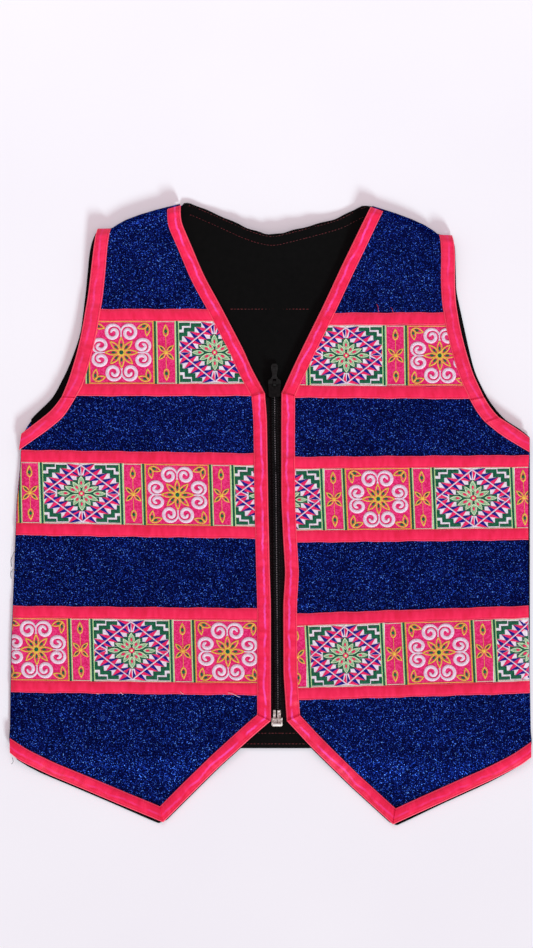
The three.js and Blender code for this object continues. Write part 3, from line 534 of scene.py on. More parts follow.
class Needlework:
    """Stitching gathered into one mesh from domed strokes and padded patches on a flat plan."""

    def __init__(self):
        self.points, self.uvs, self.faces, self.threads = [], [], [], []
        self.count = 0
        self.tile = (0.0, 1.0, 1.0, 0.0)

    def add(self, plan, heights, uvs, faces, thread):
        centre, across, along, lean = self.tile
        v = plan[:, 1] * along
        x = centre + plan[:, 0] * across + lean * v
        self.points.append(np.column_stack([x, v, heights]))
        self.uvs.append(uvs)
        self.faces += [[i + self.count for i in face] for face in faces]
        self.threads += [thread] * len(faces)
        self.count += len(plan)

    def stroke(self, path, half, height, thread, closed=False, lift=0.0):
        """A stitched line along a path, half as wide as half says, which may be one number a point."""
        path = np.asarray(path, float)
        half = np.broadcast_to(np.asarray(half, float), (len(path),))
        ahead = np.roll(path, -1, 0) - path
        behind = path - np.roll(path, 1, 0)
        if not closed:
            ahead[-1], behind[0] = behind[-1], ahead[0]
        ahead /= np.linalg.norm(ahead, axis=1, keepdims=True)
        behind /= np.linalg.norm(behind, axis=1, keepdims=True)
        mean = ahead + behind
        mean /= np.linalg.norm(mean, axis=1, keepdims=True) + 1e-9
        reach = 1 / np.clip((mean * ahead).sum(1), 0.55, 1)
        side = np.column_stack([-mean[:, 1], mean[:, 0]]) * (reach * half)[:, None]
        section = WIDE_SECTION if half.max() > 1 else NARROW_SECTION
        k, n = len(section), len(path)
        plan = (path[:, None] + side[:, None] * section[None, :, 0, None]).reshape(-1, 2)
        rise = np.where(section[:, 1] > 0, lift + height * section[:, 1], -SUNK)
        heights = np.tile(rise, n)
        along = np.repeat(lengths(path), k)
        uvs = np.column_stack([along / 10, np.tile(section[:, 0], n) * 0.5 + 0.5])
        faces = []
        for i in range(n if closed else n - 1):
            j = (i + 1) % n
            for a in range(k):
                b = (a + 1) % k
                faces.append([i * k + a, j * k + a, j * k + b, i * k + b])
        if not closed:
            faces += [list(range(k)), [(n - 1) * k + a for a in range(k - 1, -1, -1)]]
        self.add(plan, heights, uvs, faces, thread)

    def patch(self, outline, height, thread, lift=0.0):
        """A padded patch with a convex outline."""
        outline = np.asarray(outline, float)
        x, y = outline[:, 0], outline[:, 1]
        if (x * np.roll(y, -1) - y * np.roll(x, -1)).sum() < 0:
            outline = outline[::-1]
        n = len(outline)
        middle = outline.mean(0)
        plan = np.concatenate([outline, outline, middle + (outline - middle) * 0.72])
        heights = np.repeat([-SUNK, lift + 0.55 * height, lift + height], n)
        faces = [list(range(n - 1, -1, -1)), list(range(2 * n, 3 * n))]
        for ring in (0, n):
            for i in range(n):
                j = (i + 1) % n
                faces.append([ring + i, ring + j, ring + n + j, ring + n + i])
        self.add(plan, heights, plan / 10, faces, thread)

    def make(self, name, place, threads, keep=None):
        """The mesh, its points put in place, without the faces that keep leaves out."""
        points = np.concatenate(self.points)
        uvs = np.concatenate(self.uvs)
        beyond = np.zeros(len(points))
        if keep is not None:
            points, beyond = keep(points)
        faces, slots, names = [], [], sorted(set(self.threads))
        for face_points, thread in zip(self.faces, self.threads):
            sides = {beyond[i] for i in face_points}
            if len(sides) > 1 or 0 in sides:
                faces.append(face_points)
                slots.append(names.index(thread))
        used = np.unique([i for face_points in faces for i in face_points])
        renumbered = np.zeros(len(points), int)
        renumbered[used] = np.arange(len(used))
        faces = [[int(renumbered[i]) for i in face_points] for face_points in faces]
        return build(name, place(points[used]), faces, uvs[used], [threads[n] for n in names], slots, 60)


# Motifs, in millimetres from the middle of their tile
TILE_HALF_HEIGHT = 23.4
SCROLL_HALF = 27.9
DIAMOND_HALF = 31.4
BUD_HALF = 6.1
WHITE_SHARE = 0.97              # the diamond's white ground ends under its outer line
OUTLINE = 0.43                  # half the width of a motif's outline stitch
LOW_RELIEF = 0.26
HIGH_RELIEF = 0.4
QUARTERS = [(-1, -1), (-1, 1), (1, -1), (1, 1)]


def leaf(base, tip, half, widest=0.45):
    """A pointed leaf's outline, as wide as half either way, widest at that share of its length."""
    base, tip = np.asarray(base, float), np.asarray(tip, float)
    axis = tip - base
    side = np.array([-axis[1], axis[0]]) / np.linalg.norm(axis)
    t = np.array([0, 0.1, 0.25, 0.45, 0.65, 0.82, 0.93, 1.0])
    width = half * np.sin(np.pi * t ** (math.log(0.5) / math.log(widest))) ** 0.85
    left = base + axis * t[:, None] + side * width[:, None]
    right = base + axis * t[:, None] - side * width[:, None]
    return np.concatenate([left, right[-2:0:-1]])


def polar(radius, degrees):
    turn = math.radians(degrees)
    return np.array([radius * math.cos(turn), radius * math.sin(turn)])


def outlined_leaf(work, base, tip, half, outline, core, core_thread, widest=0.45, lift=0.0, line=OUTLINE):
    """A leaf in outline stitch with a core: the core's place and length as shares, and its half width."""
    base, tip = np.asarray(base, float), np.asarray(tip, float)
    work.stroke(leaf(base, tip, half, widest), line, LOW_RELIEF, outline, closed=True, lift=lift)
    place, length, core_half = core
    start = base + (tip - base) * (place - length / 2)
    end = base + (tip - base) * (place + length / 2)
    work.patch(leaf(start, end, core_half, 0.5), LOW_RELIEF + 0.04, core_thread, lift=lift)


def disc(work, centre, radius, height, thread, lift=0.0, sides=10):
    turns = np.linspace(0, 2 * np.pi, sides, endpoint=False)
    ring = np.column_stack([np.cos(turns), np.sin(turns)]) * radius + np.asarray(centre, float)
    work.patch(ring, height, thread, lift=lift)


def side_lines(work, rows):
    """Upright lines down both sides of a tile. Rows are the distance out, the half width and the thread."""
    y = np.linspace(-TILE_HALF_HEIGHT, TILE_HALF_HEIGHT, 16)
    for sign in (-1, 1):
        for distance, half, thread in rows:
            work.stroke(np.column_stack([np.full(16, sign * distance), y]), half, LOW_RELIEF, thread)


def edge_lines(work, half_width, thread, half=0.3):
    x = np.linspace(-half_width, half_width, 20)
    for sign in (-1, 1):
        y = np.full(20, sign * (TILE_HALF_HEIGHT - 0.5))
        work.stroke(np.column_stack([x, y]), half, LOW_RELIEF, thread)


# The scroll winds in from the line between a pair to its eye: rows of turn in degrees, radius, half width
SCROLL = table(
    [-32, 6.85, 0.3], [0, 6.45, 0.55], [30, 6.05, 0.75], [55, 5.6, 0.95], [75, 5.2, 1.1], [90, 5.0, 1.2],
    [120, 4.9, 1.3], [180, 4.75, 1.35], [270, 4.55, 1.3], [315, 4.15, 1.3], [360, 3.4, 1.3],
    [405, 2.5, 1.2], [450, 1.5, 1.05], [500, 0.95, 1.0], [570, 0.75, 0.9])
# Its eye's place and its stretch across and along, for the upright pairs and for the level ones
SCROLL_EYES = [((6.4, 15.3), (1.0, 1.02)), ((5.4, 16.5), (0.88, 1.05))]
PETAL_TIPS = [12.3, 11.5, 11.1, 11.5]
SPRIG_FOOT = (20.8, 20.7)
SPRIG_TIPS = [(19.6, 12.6), (12.7, 18.2)]


def scroll_tile(work):
    turns = np.arange(SCROLL[0, 0], SCROLL[-1, 0] + 1, 14)
    radius = np.interp(turns, SCROLL[:, 0], SCROLL[:, 1])
    half = np.interp(turns, SCROLL[:, 0], SCROLL[:, 2])
    spiral = np.column_stack([radius * np.cos(np.radians(turns)), radius * np.sin(np.radians(turns))])
    for quarter in range(4):
        (out_x, out_y), (squeeze, stretch) = SCROLL_EYES[quarter % 2]
        turn = -math.pi / 2 * quarter
        rotation = np.array([[math.cos(turn), math.sin(turn)], [-math.sin(turn), math.cos(turn)]])
        for mirror in (1, -1):
            path = (spiral * [squeeze, stretch] + [-out_x, out_y]) * [mirror, 1]
            work.stroke(path @ rotation, half, HIGH_RELIEF, "white")
    for i in range(8):
        outlined_leaf(work, polar(1.9, 45 * i), polar(PETAL_TIPS[i % 4], 45 * i), 1.75, "yellow",
                      (0.39, 0.36, 0.85), "dark_green", line=0.55)
    disc(work, (0, 0), 3.2, LOW_RELIEF, "yellow")
    disc(work, (0, 0), 1.65, 0.2, "dark_green", lift=LOW_RELIEF - 0.06)
    for corner in QUARTERS:
        for tip in SPRIG_TIPS:
            outlined_leaf(work, np.multiply(SPRIG_FOOT, corner), np.multiply(tip, corner), 1.8, "yellow",
                          (0.42, 0.42, 0.95), "dark_green", line=0.5)
    edge_lines(work, SCROLL_HALF - 3.5, "yellow")
    side_lines(work, [(24.5, 0.5, "yellow"), (25.9, 0.9, "dark_green"), (27.25, 0.5, "light_green")])


def bud_column(work):
    for sign in (-1, 1):
        outlined_leaf(work, (0, 12.3 * sign), (0, 20.4 * sign), 1.75, "yellow", (0.42, 0.4, 1.2),
                      "dark_green", widest=0.38, line=0.55)
        y = np.linspace(3.2, 12, 5) * sign
        work.stroke(np.column_stack([np.zeros(5), y]), 0.2, 0.18, "yellow")
    for degrees in (43, 137, 223, 317):
        outlined_leaf(work, polar(0.8, degrees), polar(7.3, degrees), 1.25, "yellow", (0.55, 0.56, 0.55),
                      "dark_green")
    disc(work, (0, 0), 1.2, 0.3, "yellow", lift=0.08)
    edge_lines(work, BUD_HALF, "pale")


# The diamond's flower: rows of turn in degrees, base, tip, half width, and its core's place
FLOWER = [
    (0, 8.8, 17.1, 1.4, 0.33), (24, 2.6, 12.6, 1.55, 0.42), (55, 2.2, 10.4, 1.65, 0.42),
    (90, 4.6, 12.9, 2.1, 0.42), (125, 2.2, 10.4, 1.65, 0.42), (156, 2.6, 12.6, 1.55, 0.42)]
# Its stepped ground: rows of lower and upper limit and half width, the same above and below
STEPS = [(-2.9, 2.9, 17.6), (2.9, 6.6, 12.6), (6.6, 10.2, 8.0), (10.2, 13.7, 3.2)]
RHOMBUS = (27.4, 21.6)
# Flags along the rhombus: rows of side (1 outside), count, first place, pitch, base, reach, lean
FLAGS = [(1, 6, 0.05, 0.165, 0.19, 4.4, 3.6), (-1, 4, 0.27, 0.158, 0.18, 3.8, 3.2)]
# The flags in the rhombus's left and top corners, turned half a turn for the other two
CORNER_FLAGS = [
    ("indigo", [(-23.6, 3.4), (-20.8, 5.6), (-18.0, 1.2)]),
    ("pink", [(-27.0, 0.3), (-24.0, 3.1), (-18.9, 0.2)]),
    ("indigo", [(-27.0, -0.1), (-19.1, -0.1), (-23.7, -2.3)]),
    ("pink", [(-23.6, -2.4), (-18.6, -0.5), (-20.8, -5.2)]),
    ("pink", [(-6.0, 16.6), (-2.7, 19.2), (-1.9, 14.0)]),
    ("indigo", [(-2.5, 19.4), (-0.1, 21.2), (-0.5, 14.0)]),
    ("pink", [(0.1, 21.2), (2.5, 19.4), (0.5, 14.0)]),
    ("indigo", [(1.9, 14.0), (3.0, 19.0), (6.1, 16.5)]),
]
# Stepped bands in the tile's corners: half the width, then the corners of the path
STAIRS = [
    (1.5, [(26.5, 8.8), (26.5, 13.4), (22.2, 13.4), (22.2, 16.9), (16.6, 16.9), (16.6, 20.3), (10.0, 20.3)]),
    (1.25, [(26.2, 17.0), (26.2, 20.9), (18.7, 20.9)])]


def diamond_tile(work):
    for low, high, half_width in STEPS:
        for sign in ((1,) if low < 0 else (1, -1)):
            y = sign * (low + high) / 2
            x = np.linspace(-half_width, half_width, max(3, round(half_width)))
            work.stroke(np.column_stack([x, np.full(len(x), y)]), (high - low) / 2 + 0.1, 0.14, "dark_green")
    for degrees, base, tip, half, core in FLOWER:
        for turn in (degrees, degrees + 180):
            work.patch(leaf(polar(base, turn), polar(tip, turn), half), 0.06, "leaf_green", lift=0.14)
            outlined_leaf(work, polar(base, turn), polar(tip, turn), half, "pale_green",
                          (core, 0.38, 0.85), "pink", lift=0.14)
    disc(work, (0, 0), 2.1, 0.12, "pink", lift=0.3)
    disc(work, (0, 0), 0.95, 0.12, "light_green", lift=0.4)
    for sign in (-1, 1):
        work.stroke([(0, 2.4 * sign), (0, 5.0 * sign)], 0.35, 0.2, "dark_green", lift=0.2)
        for thread, corners in CORNER_FLAGS:
            work.patch(np.array(corners) * sign, LOW_RELIEF, thread)
    wide, tall = RHOMBUS
    for qx, qy in QUARTERS:
        diamond_quarter(work, qx, qy)
        t = np.linspace(0, 1, 14)[:, None]
        side = np.array([wide * qx, 0]) * (1 - t) + np.array([0, tall * qy]) * t
        work.stroke(side, 0.62, HIGH_RELIEF, "white")
    edge_lines(work, DIAMOND_HALF - 3.3, "pale", 0.35)
    side_lines(work, [(27.6, 0.4, "light_green"), (28.85, 0.9, "dark_green"), (30.3, 0.55, "light_green")])


def diamond_quarter(work, qx, qy):
    """The flags along one side of the rhombus, and the stepped bands in its corner of the tile."""
    wide, tall = RHOMBUS
    start, end = np.array([wide * qx, 0]), np.array([0, tall * qy])
    length = np.linalg.norm(end - start)
    along = (end - start) / length
    out = np.array([qx * abs(along[1]), qy * abs(along[0])])
    pinwheel = ("pink", "indigo") if qx * qy > 0 else ("indigo", "pink")
    for side, count, first, pitch, base, reach, lean in FLAGS:
        near, far = pinwheel if side > 0 else pinwheel[::-1]
        for i in range(count):
            middle = start + along * length * (first + pitch * i) + out * side * 0.5
            tip = middle + out * side * reach + np.array([side * lean * qx, 0])
            half = along * length * base / 2
            split = along * 0.06
            for thread, corners in ((near, [middle - half, middle - split, tip - split]),
                                    (far, [middle + split, middle + half, tip + split])):
                corners = np.array(corners)
                corners[:, 0] = np.clip(corners[:, 0], -wide, wide)
                work.patch(corners, LOW_RELIEF, thread)
    for half, path in STAIRS:
        work.stroke(np.array(path) * [qx, qy], half, LOW_RELIEF, "dark_green")


TILES = {
    "scroll": (scroll_tile, SCROLL_HALF),
    "bud": (bud_column, BUD_HALF),
    "diamond": (diamond_tile, DIAMOND_HALF),
}


def tile_spans(tiles):
    """Each tile's kind, middle and half width: the tiles fill the room between the bud columns."""
    spans = []
    for i, (kind, x) in enumerate(tiles):
        half = TILES[kind][1]
        if kind != "bud":
            left = tiles[i - 1][1] + BUD_HALF if i > 0 else None
            right = tiles[i + 1][1] - BUD_HALF if i + 1 < len(tiles) else None
            if left is not None and right is not None:
                x, half = (left + right) / 2, (right - left) / 2
            elif left is not None:
                half = x - left
            else:
                half = right - x
        spans.append((kind, x, half))
    return spans


# Materials
def srgb(*rgb):
    linear = [v / 255 / 12.92 if v <= 10.3 else ((v / 255 + 0.055) / 1.055) ** 2.4 for v in rgb]
    return (*linear, 1.0)


class Surface:
    """A node material: add() puts a node in and gives its outputs, and set() feeds the shader."""

    def __init__(self, name, roughness, metallic=0.0, specular=0.5, sheen=0.0):
        self.material = bpy.data.materials.new(name)
        self.material.use_nodes = True
        self.tree = self.material.node_tree
        self.shader = self.tree.nodes["Principled BSDF"]
        self.shader.inputs["Roughness"].default_value = roughness
        self.shader.inputs["Metallic"].default_value = metallic
        self.shader.inputs["Specular IOR Level"].default_value = specular
        self.shader.inputs["Sheen Weight"].default_value = sheen
        self.shader.inputs["Sheen Roughness"].default_value = 0.4
        self.object = self.add("ShaderNodeTexCoord").outputs["Object"]
        self.uv = self.add("ShaderNodeUVMap", uv_map="cloth").outputs["UV"]

    def add(self, kind, inputs=(), **settings):
        node = self.tree.nodes.new(kind)
        for name, value in settings.items():
            setattr(node, name, value)
        for key, value in dict(inputs).items():
            self.feed(node.inputs[key], value)
        return node

    def feed(self, socket, value):
        if isinstance(value, bpy.types.NodeSocket):
            self.tree.links.new(value, socket)
        else:
            socket.default_value = value

    def set(self, name, value):
        self.feed(self.shader.inputs[name], value)

    def math(self, operation, a, b=0.0):
        return self.add("ShaderNodeMath", {0: a, 1: b}, operation=operation).outputs[0]

    def mix(self, factor, a, b, blend="MIX"):
        node = self.add("ShaderNodeMix", {0: factor, 6: a, 7: b}, data_type="RGBA", blend_type=blend)
        return node.outputs[2]

    def noise(self, scale, detail=2.0, vector=None):
        inputs = {"Scale": scale, "Detail": detail, "Vector": self.object if vector is None else vector}
        return self.add("ShaderNodeTexNoise", inputs).outputs["Fac"]

    def ramp(self, factor, *stops):
        node = self.add("ShaderNodeValToRGB", {0: factor})
        elements = node.color_ramp.elements
        elements[0].position, elements[0].color = stops[0]
        elements[1].position, elements[1].color = stops[-1]
        for position, color in stops[1:-1]:
            elements.new(position).color = color
        return node.outputs[0]

    def between(self, value, low, high):
        """0 below low and 1 above high."""
        inputs = {"Value": value, "From Min": low, "From Max": high}
        node = self.add("ShaderNodeMapRange", inputs, interpolation_type="SMOOTHSTEP")
        return node.outputs["Result"]

    def bump(self, height, strength, distance=0.0003):
        node = self.add("ShaderNodeBump", {"Height": height, "Strength": strength, "Distance": distance})
        self.set("Normal", node.outputs["Normal"])


def grey(value):
    return (value, value, value, 1.0)


def glitter():
    """Dark blue cloth thick with glitter: flakes of uneven brightness, the brightest painted in as sparkle,
    each tilted its own way.
    """
    s = Surface("glitter_cloth", roughness=0.5, metallic=1.0)
    s.shader.inputs["Specular Tint"].default_value = (0.05, 0.08, 0.3, 1)
    flakes = s.add("ShaderNodeTexVoronoi", {"Scale": 1900.0, "Vector": s.object})
    split = s.add("ShaderNodeSeparateColor", {0: flakes.outputs["Color"]})
    clusters = s.noise(1000.0, 1.0)
    # Each flake's tone: a random dark blue, and in the brightest flakes painted sparkle, a painted
    # highlight. The tilted normals below give the real glints.
    shine = s.math("ADD", s.math("MULTIPLY", split.outputs[0], 0.7), s.math("MULTIPLY", clusters, 0.46))
    color = s.ramp(shine, (0.25, srgb(6, 9, 52)), (0.62, srgb(10, 16, 70)), (0.78, srgb(17, 28, 94)),
                   (0.86, srgb(24, 52, 160)), (0.93, srgb(50, 106, 242)), (0.98, srgb(118, 178, 255)))
    mottled = s.mix(s.between(s.noise(75.0, 2.0), 0.35, 0.65), grey(0.82), grey(1.08))
    s.set("Base Color", s.mix(1.0, color, mottled, "MULTIPLY"))
    normal = s.add("ShaderNodeNewGeometry").outputs["Normal"]
    tilt = s.add("ShaderNodeVectorMath", {0: flakes.outputs["Color"], 1: (0.5, 0.5, 0.5)},
                 operation="SUBTRACT")
    scaled = s.add("ShaderNodeVectorMath", {0: tilt.outputs[0], "Scale": 0.3}, operation="SCALE")
    turned = s.add("ShaderNodeVectorMath", {0: normal, 1: scaled.outputs[0]}, operation="ADD")
    s.set("Normal", s.add("ShaderNodeVectorMath", {0: turned.outputs[0]}, operation="NORMALIZE").outputs[0])
    return s.material


def weave(s, pitch, strength):
    """A plain weave's relief, threads pitch apart, from two crossed waves."""
    waves_across = [s.add("ShaderNodeTexWave", {"Scale": 0.314 / (pitch * MM), "Vector": s.object,
                                                "Distortion": 0.6}, bands_direction=axis).outputs["Fac"]
                    for axis in ("X", "Y")]
    s.bump(s.math("MULTIPLY", *waves_across), strength, 0.0002)


def lining():
    s = Surface("black_lining", roughness=0.9, specular=0.08)
    s.set("Base Color", s.mix(s.noise(260.0), srgb(5, 5, 5), srgb(12, 11, 11)))
    weave(s, 0.7, 0.4)
    return s.material


def satin(name, base, painted_sheen):
    """Pink satin ribbon: woven edges, painted shade and light of puckers across it, painted shade in its
    stitch grooves and, with a sheen strength above 0, a wandering painted highlight of sheen with painted
    shade beside it.
    """
    s = Surface(name, roughness=0.42, specular=0.25)
    parts = s.add("ShaderNodeSeparateXYZ", {0: s.uv})
    along, across = parts.outputs[0], parts.outputs[1]
    run = s.add("ShaderNodeCombineXYZ", {0: along}).outputs[0]
    stretched = s.add("ShaderNodeVectorMath", {0: s.uv, 1: (1.0, 0.03, 1.0)}, operation="MULTIPLY")
    # Bars across the ribbon: this noise gives the puckers' bump and, in colour, their painted shade and
    # light.
    pucker_relief_and_shade = s.noise(22.0, 3.0, stretched.outputs[0])
    color = s.ramp(pucker_relief_and_shade, (0.3, srgb(232, 24, 68)), (0.5, base), (0.68, srgb(255, 42, 92)))
    if painted_sheen > 0:
        # Painted highlight: a magenta line of sheen that wanders along the ribbon, in patches, and fades
        # further along.
        swing = s.math("MULTIPLY", s.noise(5.0, 1.0, run), 0.5)
        wander = s.math("ADD", s.math("ADD", swing, s.math("MULTIPLY", s.noise(34.0, 2.0, run), 0.16)), 0.1)
        off = s.math("SUBTRACT", across, wander)
        line = s.math("SUBTRACT", 1.0, s.between(s.math("ABSOLUTE", off), 0.03, 0.11))
        patchy = s.between(s.noise(7.0, 4.0, run), 0.36, 0.56)
        fading = s.math("SUBTRACT", painted_sheen, s.math("MULTIPLY", s.between(along, 4.2, 5.2), 0.7 * painted_sheen))
        painted_sheen_mask = s.math("MULTIPLY", s.math("MULTIPLY", line, patchy), fading)
        # Painted shade: a dark red line beside the painted sheen line, in patches.
        beside = s.math("MULTIPLY", s.between(off, -0.34, -0.14), s.between(off, -0.1, -0.14))
        painted_shade_patches = s.between(s.noise(9.0, 3.0, run), 0.42, 0.6)
        shade = s.math("MULTIPLY", s.math("MULTIPLY", beside, painted_shade_patches), painted_sheen)
        color = s.mix(s.math("MULTIPLY", shade, 0.75), color, srgb(218, 10, 46))
        color = s.mix(painted_sheen_mask, color, srgb(255, 74, 172))
    from_middle = s.math("ABSOLUTE", s.math("SUBTRACT", across, 0.5))
    edge = s.between(from_middle, 0.425, 0.47)
    color = s.mix(s.math("MULTIPLY", edge, 0.8), color, srgb(255, 84, 108))
    # Painted shade: a darker line in each stitch groove.
    from_stitches = s.math("ABSOLUTE", s.math("SUBTRACT", from_middle, 0.39))
    groove = s.math("SUBTRACT", 1.0, s.between(from_stitches, 0.01, 0.045))
    color = s.mix(s.math("MULTIPLY", groove, 0.55), color, srgb(200, 10, 50))
    s.set("Base Color", color)
    ribs = s.add("ShaderNodeTexWave", {"Scale": 62.0, "Vector": s.uv, "Distortion": 0.8},
                 bands_direction="X").outputs["Fac"]
    s.bump(s.math("ADD", s.math("MULTIPLY", ribs, 0.35), pucker_relief_and_shade), 0.5, 0.0003)
    return s.material


def ground(name, dark, light):
    """The embroidery's closely stitched ground, in two tones that dither."""
    s = Surface(name, roughness=0.7, specular=0.15)
    grain = s.add("ShaderNodeTexVoronoi", {"Scale": 1100.0, "Vector": s.object})
    split = s.add("ShaderNodeSeparateColor", {0: grain.outputs["Color"]})
    s.set("Base Color", s.mix(s.between(split.outputs[0], 0.25, 0.85), dark, light))
    weave(s, 0.8, 0.6)
    return s.material


def thread(name, color, shade):
    """Embroidery thread: satin stitches side by side across each stroke."""
    s = Surface("thread_" + name, roughness=0.5, specular=0.25)
    tone = s.noise(900.0, 2.0)
    s.set("Base Color", s.mix(s.between(tone, 0.3, 0.62), shade, color))
    stitches = s.add("ShaderNodeTexWave", {"Scale": 6.5, "Vector": s.uv, "Distortion": 0.7},
                     bands_direction="DIAGONAL").outputs["Fac"]
    s.bump(stitches, 0.55, 0.0002)
    return s.material


def plain_thread(name, color, shade):
    s = Surface(name, roughness=0.5, specular=0.4, sheen=0.2)
    s.set("Base Color", s.mix(s.between(s.noise(600.0), 0.35, 0.65), shade, color))
    twist = s.add("ShaderNodeTexWave", {"Scale": 9.0, "Vector": s.uv}, bands_direction="DIAGONAL")
    s.bump(twist.outputs["Fac"], 0.5, 0.0001)
    return s.material


def zip_tape():
    s = Surface("zip_tape", roughness=0.85, specular=0.1)
    s.set("Base Color", s.mix(s.noise(420.0), srgb(9, 6, 7), srgb(26, 13, 16)))
    weave(s, 0.6, 0.7)
    return s.material


def coil_nylon(name, highlight_strength):
    """Black nylon with a painted highlight, paler in patches at the head of each turn. Along its length the
    turns are counted.
    """
    s = Surface(name, roughness=0.5, specular=0.12)
    turn = s.add("ShaderNodeSeparateXYZ", {0: s.uv}).outputs[0]
    head = s.between(s.math("COSINE", s.math("MULTIPLY", turn, 2 * math.pi)), 0.62, 0.95)
    # Painted highlight: grey dots at the head of each turn, in patches.
    painted_highlight = s.math("MULTIPLY", head, s.between(s.noise(60.0, 3.0), 0.32, 0.52))
    s.set("Base Color", s.mix(s.math("MULTIPLY", painted_highlight, highlight_strength), srgb(8, 6, 8), srgb(168, 162, 168)))
    return s.material


def metal(name, dark, light, roughness, metallic, specular):
    """Metal with fine scuffs and wear."""
    s = Surface(name, roughness=roughness, metallic=metallic, specular=specular)
    scuffs = s.noise(620.0, 3.0)
    s.set("Base Color", s.mix(s.between(scuffs, 0.4, 0.7), dark, light))
    s.set("Roughness", s.ramp(scuffs, (0.3, grey(roughness - 0.08)), (0.7, grey(roughness + 0.14))))
    return s.material


def paper_floor():
    s = Surface("floor", roughness=0.75, specular=0.2)
    s.set("Base Color", s.mix(s.noise(6.0), srgb(246, 243, 249), srgb(252, 250, 254)))
    return s.material


GLITTER = glitter()
LINING = lining()
# The last number is the strength of the painted sheen highlight and of the painted shade beside it.
EDGE_SATIN = satin("edge_satin", srgb(250, 26, 80), 1.0)
ARMHOLE_SATIN = satin("armhole_satin", srgb(246, 34, 86), 0.4)
STRIP_SATIN = satin("strip_satin", srgb(246, 32, 84), 0.0)
ROSE = ground("rose_ground", srgb(218, 24, 98), srgb(244, 58, 130))
WHITE = ground("white_ground", srgb(230, 212, 228), srgb(248, 236, 246))
THREADS = {name: thread(name, srgb(*color), srgb(*shade)) for name, color, shade in (
    ("white", (250, 228, 243), (234, 202, 224)),
    ("pale", (236, 224, 196), (206, 190, 160)),
    ("yellow", (252, 206, 84), (232, 172, 60)),
    ("dark_green", (4, 108, 72), (2, 66, 46)),
    ("light_green", (214, 250, 172), (176, 236, 148)),
    ("pale_green", (226, 242, 204), (192, 222, 176)),
    ("leaf_green", (168, 210, 164), (118, 168, 126)),
    ("indigo", (20, 12, 146), (12, 6, 100)),
    ("pink", (250, 34, 108), (222, 16, 84)),
)}
PINK_STITCH = plain_thread("pink_stitch", srgb(255, 74, 112), srgb(206, 30, 66))
RED_STITCH = plain_thread("red_stitch", srgb(124, 28, 36), srgb(80, 16, 24))
DARK_STITCH = plain_thread("dark_stitch", srgb(40, 20, 26), srgb(12, 8, 10))
PALE_STITCH = plain_thread("pale_stitch", srgb(250, 226, 232), srgb(230, 180, 190))
TAPE = zip_tape()
# The second number is the strength of each coil's painted highlight.
COILS = {"right": coil_nylon("zip_coil", 0.12), "left": coil_nylon("rubbed_coil", 1.0)}
BLACK_METAL = metal("black_metal", srgb(4, 3, 3), srgb(16, 12, 13), 0.42, 0.0, 0.13)
SILVER_METAL = metal("silver_metal", srgb(172, 156, 148), srgb(252, 244, 238), 0.3, 0.4, 0.5)
# A lighter copy of the silver for the box's lip and the pin's head: a painted highlight.
LIT_SILVER = metal("bright_metal", srgb(240, 234, 228), srgb(255, 252, 250), 0.25, 0.1, 0.6)


def dress(made, slot, *nodes):
    """Puts a piece in the frame, and has it stand for its nodes."""
    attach(made, "garment")
    if nodes:
        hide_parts(*nodes)
    return made


# Fronts
def front_rows(front, side_inset, neck_inset, from_shoulder=0.0, step=2.5):
    """The two ends of each of a front's rows, from the shoulder down. Near it they turn with its slope."""
    (_, outer_top), (_, inner_top) = front["shoulder"]
    depth = outer_top - YOKE
    near = [0, 0.5, 1.2, 2.1, 3.2, 4.6, SHOULDER_ROLL]
    distances = near + list(np.linspace(SHOULDER_ROLL, depth, round((depth - SHOULDER_ROLL) / step))[1:])
    rows = []
    for distance in distances:
        if distance >= from_shoulder:
            t = distance / depth
            rows.append((outer_top + (YOKE - outer_top) * t, inner_top + (YOKE - inner_top) * t))
    tip = min(front["side"][-1, 1], front["neck"][-1, 1]) + 1.5
    rows += [(y, y) for y in np.linspace(YOKE, tip, round((YOKE - tip) / step))[1:]]
    outer_y, inner_y = np.array(rows).T
    outer_x = x_at(front["side_line"], outer_y) - front["sign"] * side_inset(outer_y)
    inner_x = x_at(front["neck_line"], inner_y) + front["sign"] * neck_inset(inner_y)
    return np.column_stack([outer_x, outer_y]), np.column_stack([inner_x, inner_y])


def row_grid(front, outer, inner, shares):
    """Points along each row, moved near the shoulder as its seam is shaped."""
    point = outer[:, None] + (inner - outer)[:, None] * shares[..., None]
    x, y = point[..., 0], point[..., 1]
    return x, y + shoulder_shape(front, x, y) * smooth(outer[:, None, 1], YOKE, front["shoulder"][0][1])


def make_front(front):
    """A front's outer cloth, with its columns closer where it rolls under at the side."""
    top, bottom = front["seam"]

    def side_inset(y):
        covered = np.maximum(smooth(y, top - 2, top + 6), 1 - smooth(y, bottom - 12, bottom - 4))
        return WRAP_INSET * covered * (1 + 1.8 * (1 - smooth(y, -186, -180)))

    def neck_inset(y):
        return WRAP_INSET * (1 + 0.6 * (1 - smooth(y, -160, -154)))

    outer, inner = front_rows(front, side_inset, neck_inset)
    roll = np.array([0, 0.35, 0.8, 1.4, 2.1, 3.0, 4.1])
    rest = np.linspace(SIDE_ROLL, 200, 76)
    width = np.linalg.norm(inner - outer, axis=1)[:, None]
    scaled = np.minimum(1, width / 40)
    near = roll * scaled / width
    start = SIDE_ROLL * scaled / width
    far = start + (1 - start) * (rest - SIDE_ROLL) / (200 - SIDE_ROLL)
    x, y = row_grid(front, outer, inner, np.concatenate([near, far], 1))
    z = face(front, x, y)
    made, size, area = shell(f"{front['hand']}_front", x, y, z, z - THIN, [GLITTER])
    dress(made, "glitter_cloth", f"{front['hand']}_front_shell")


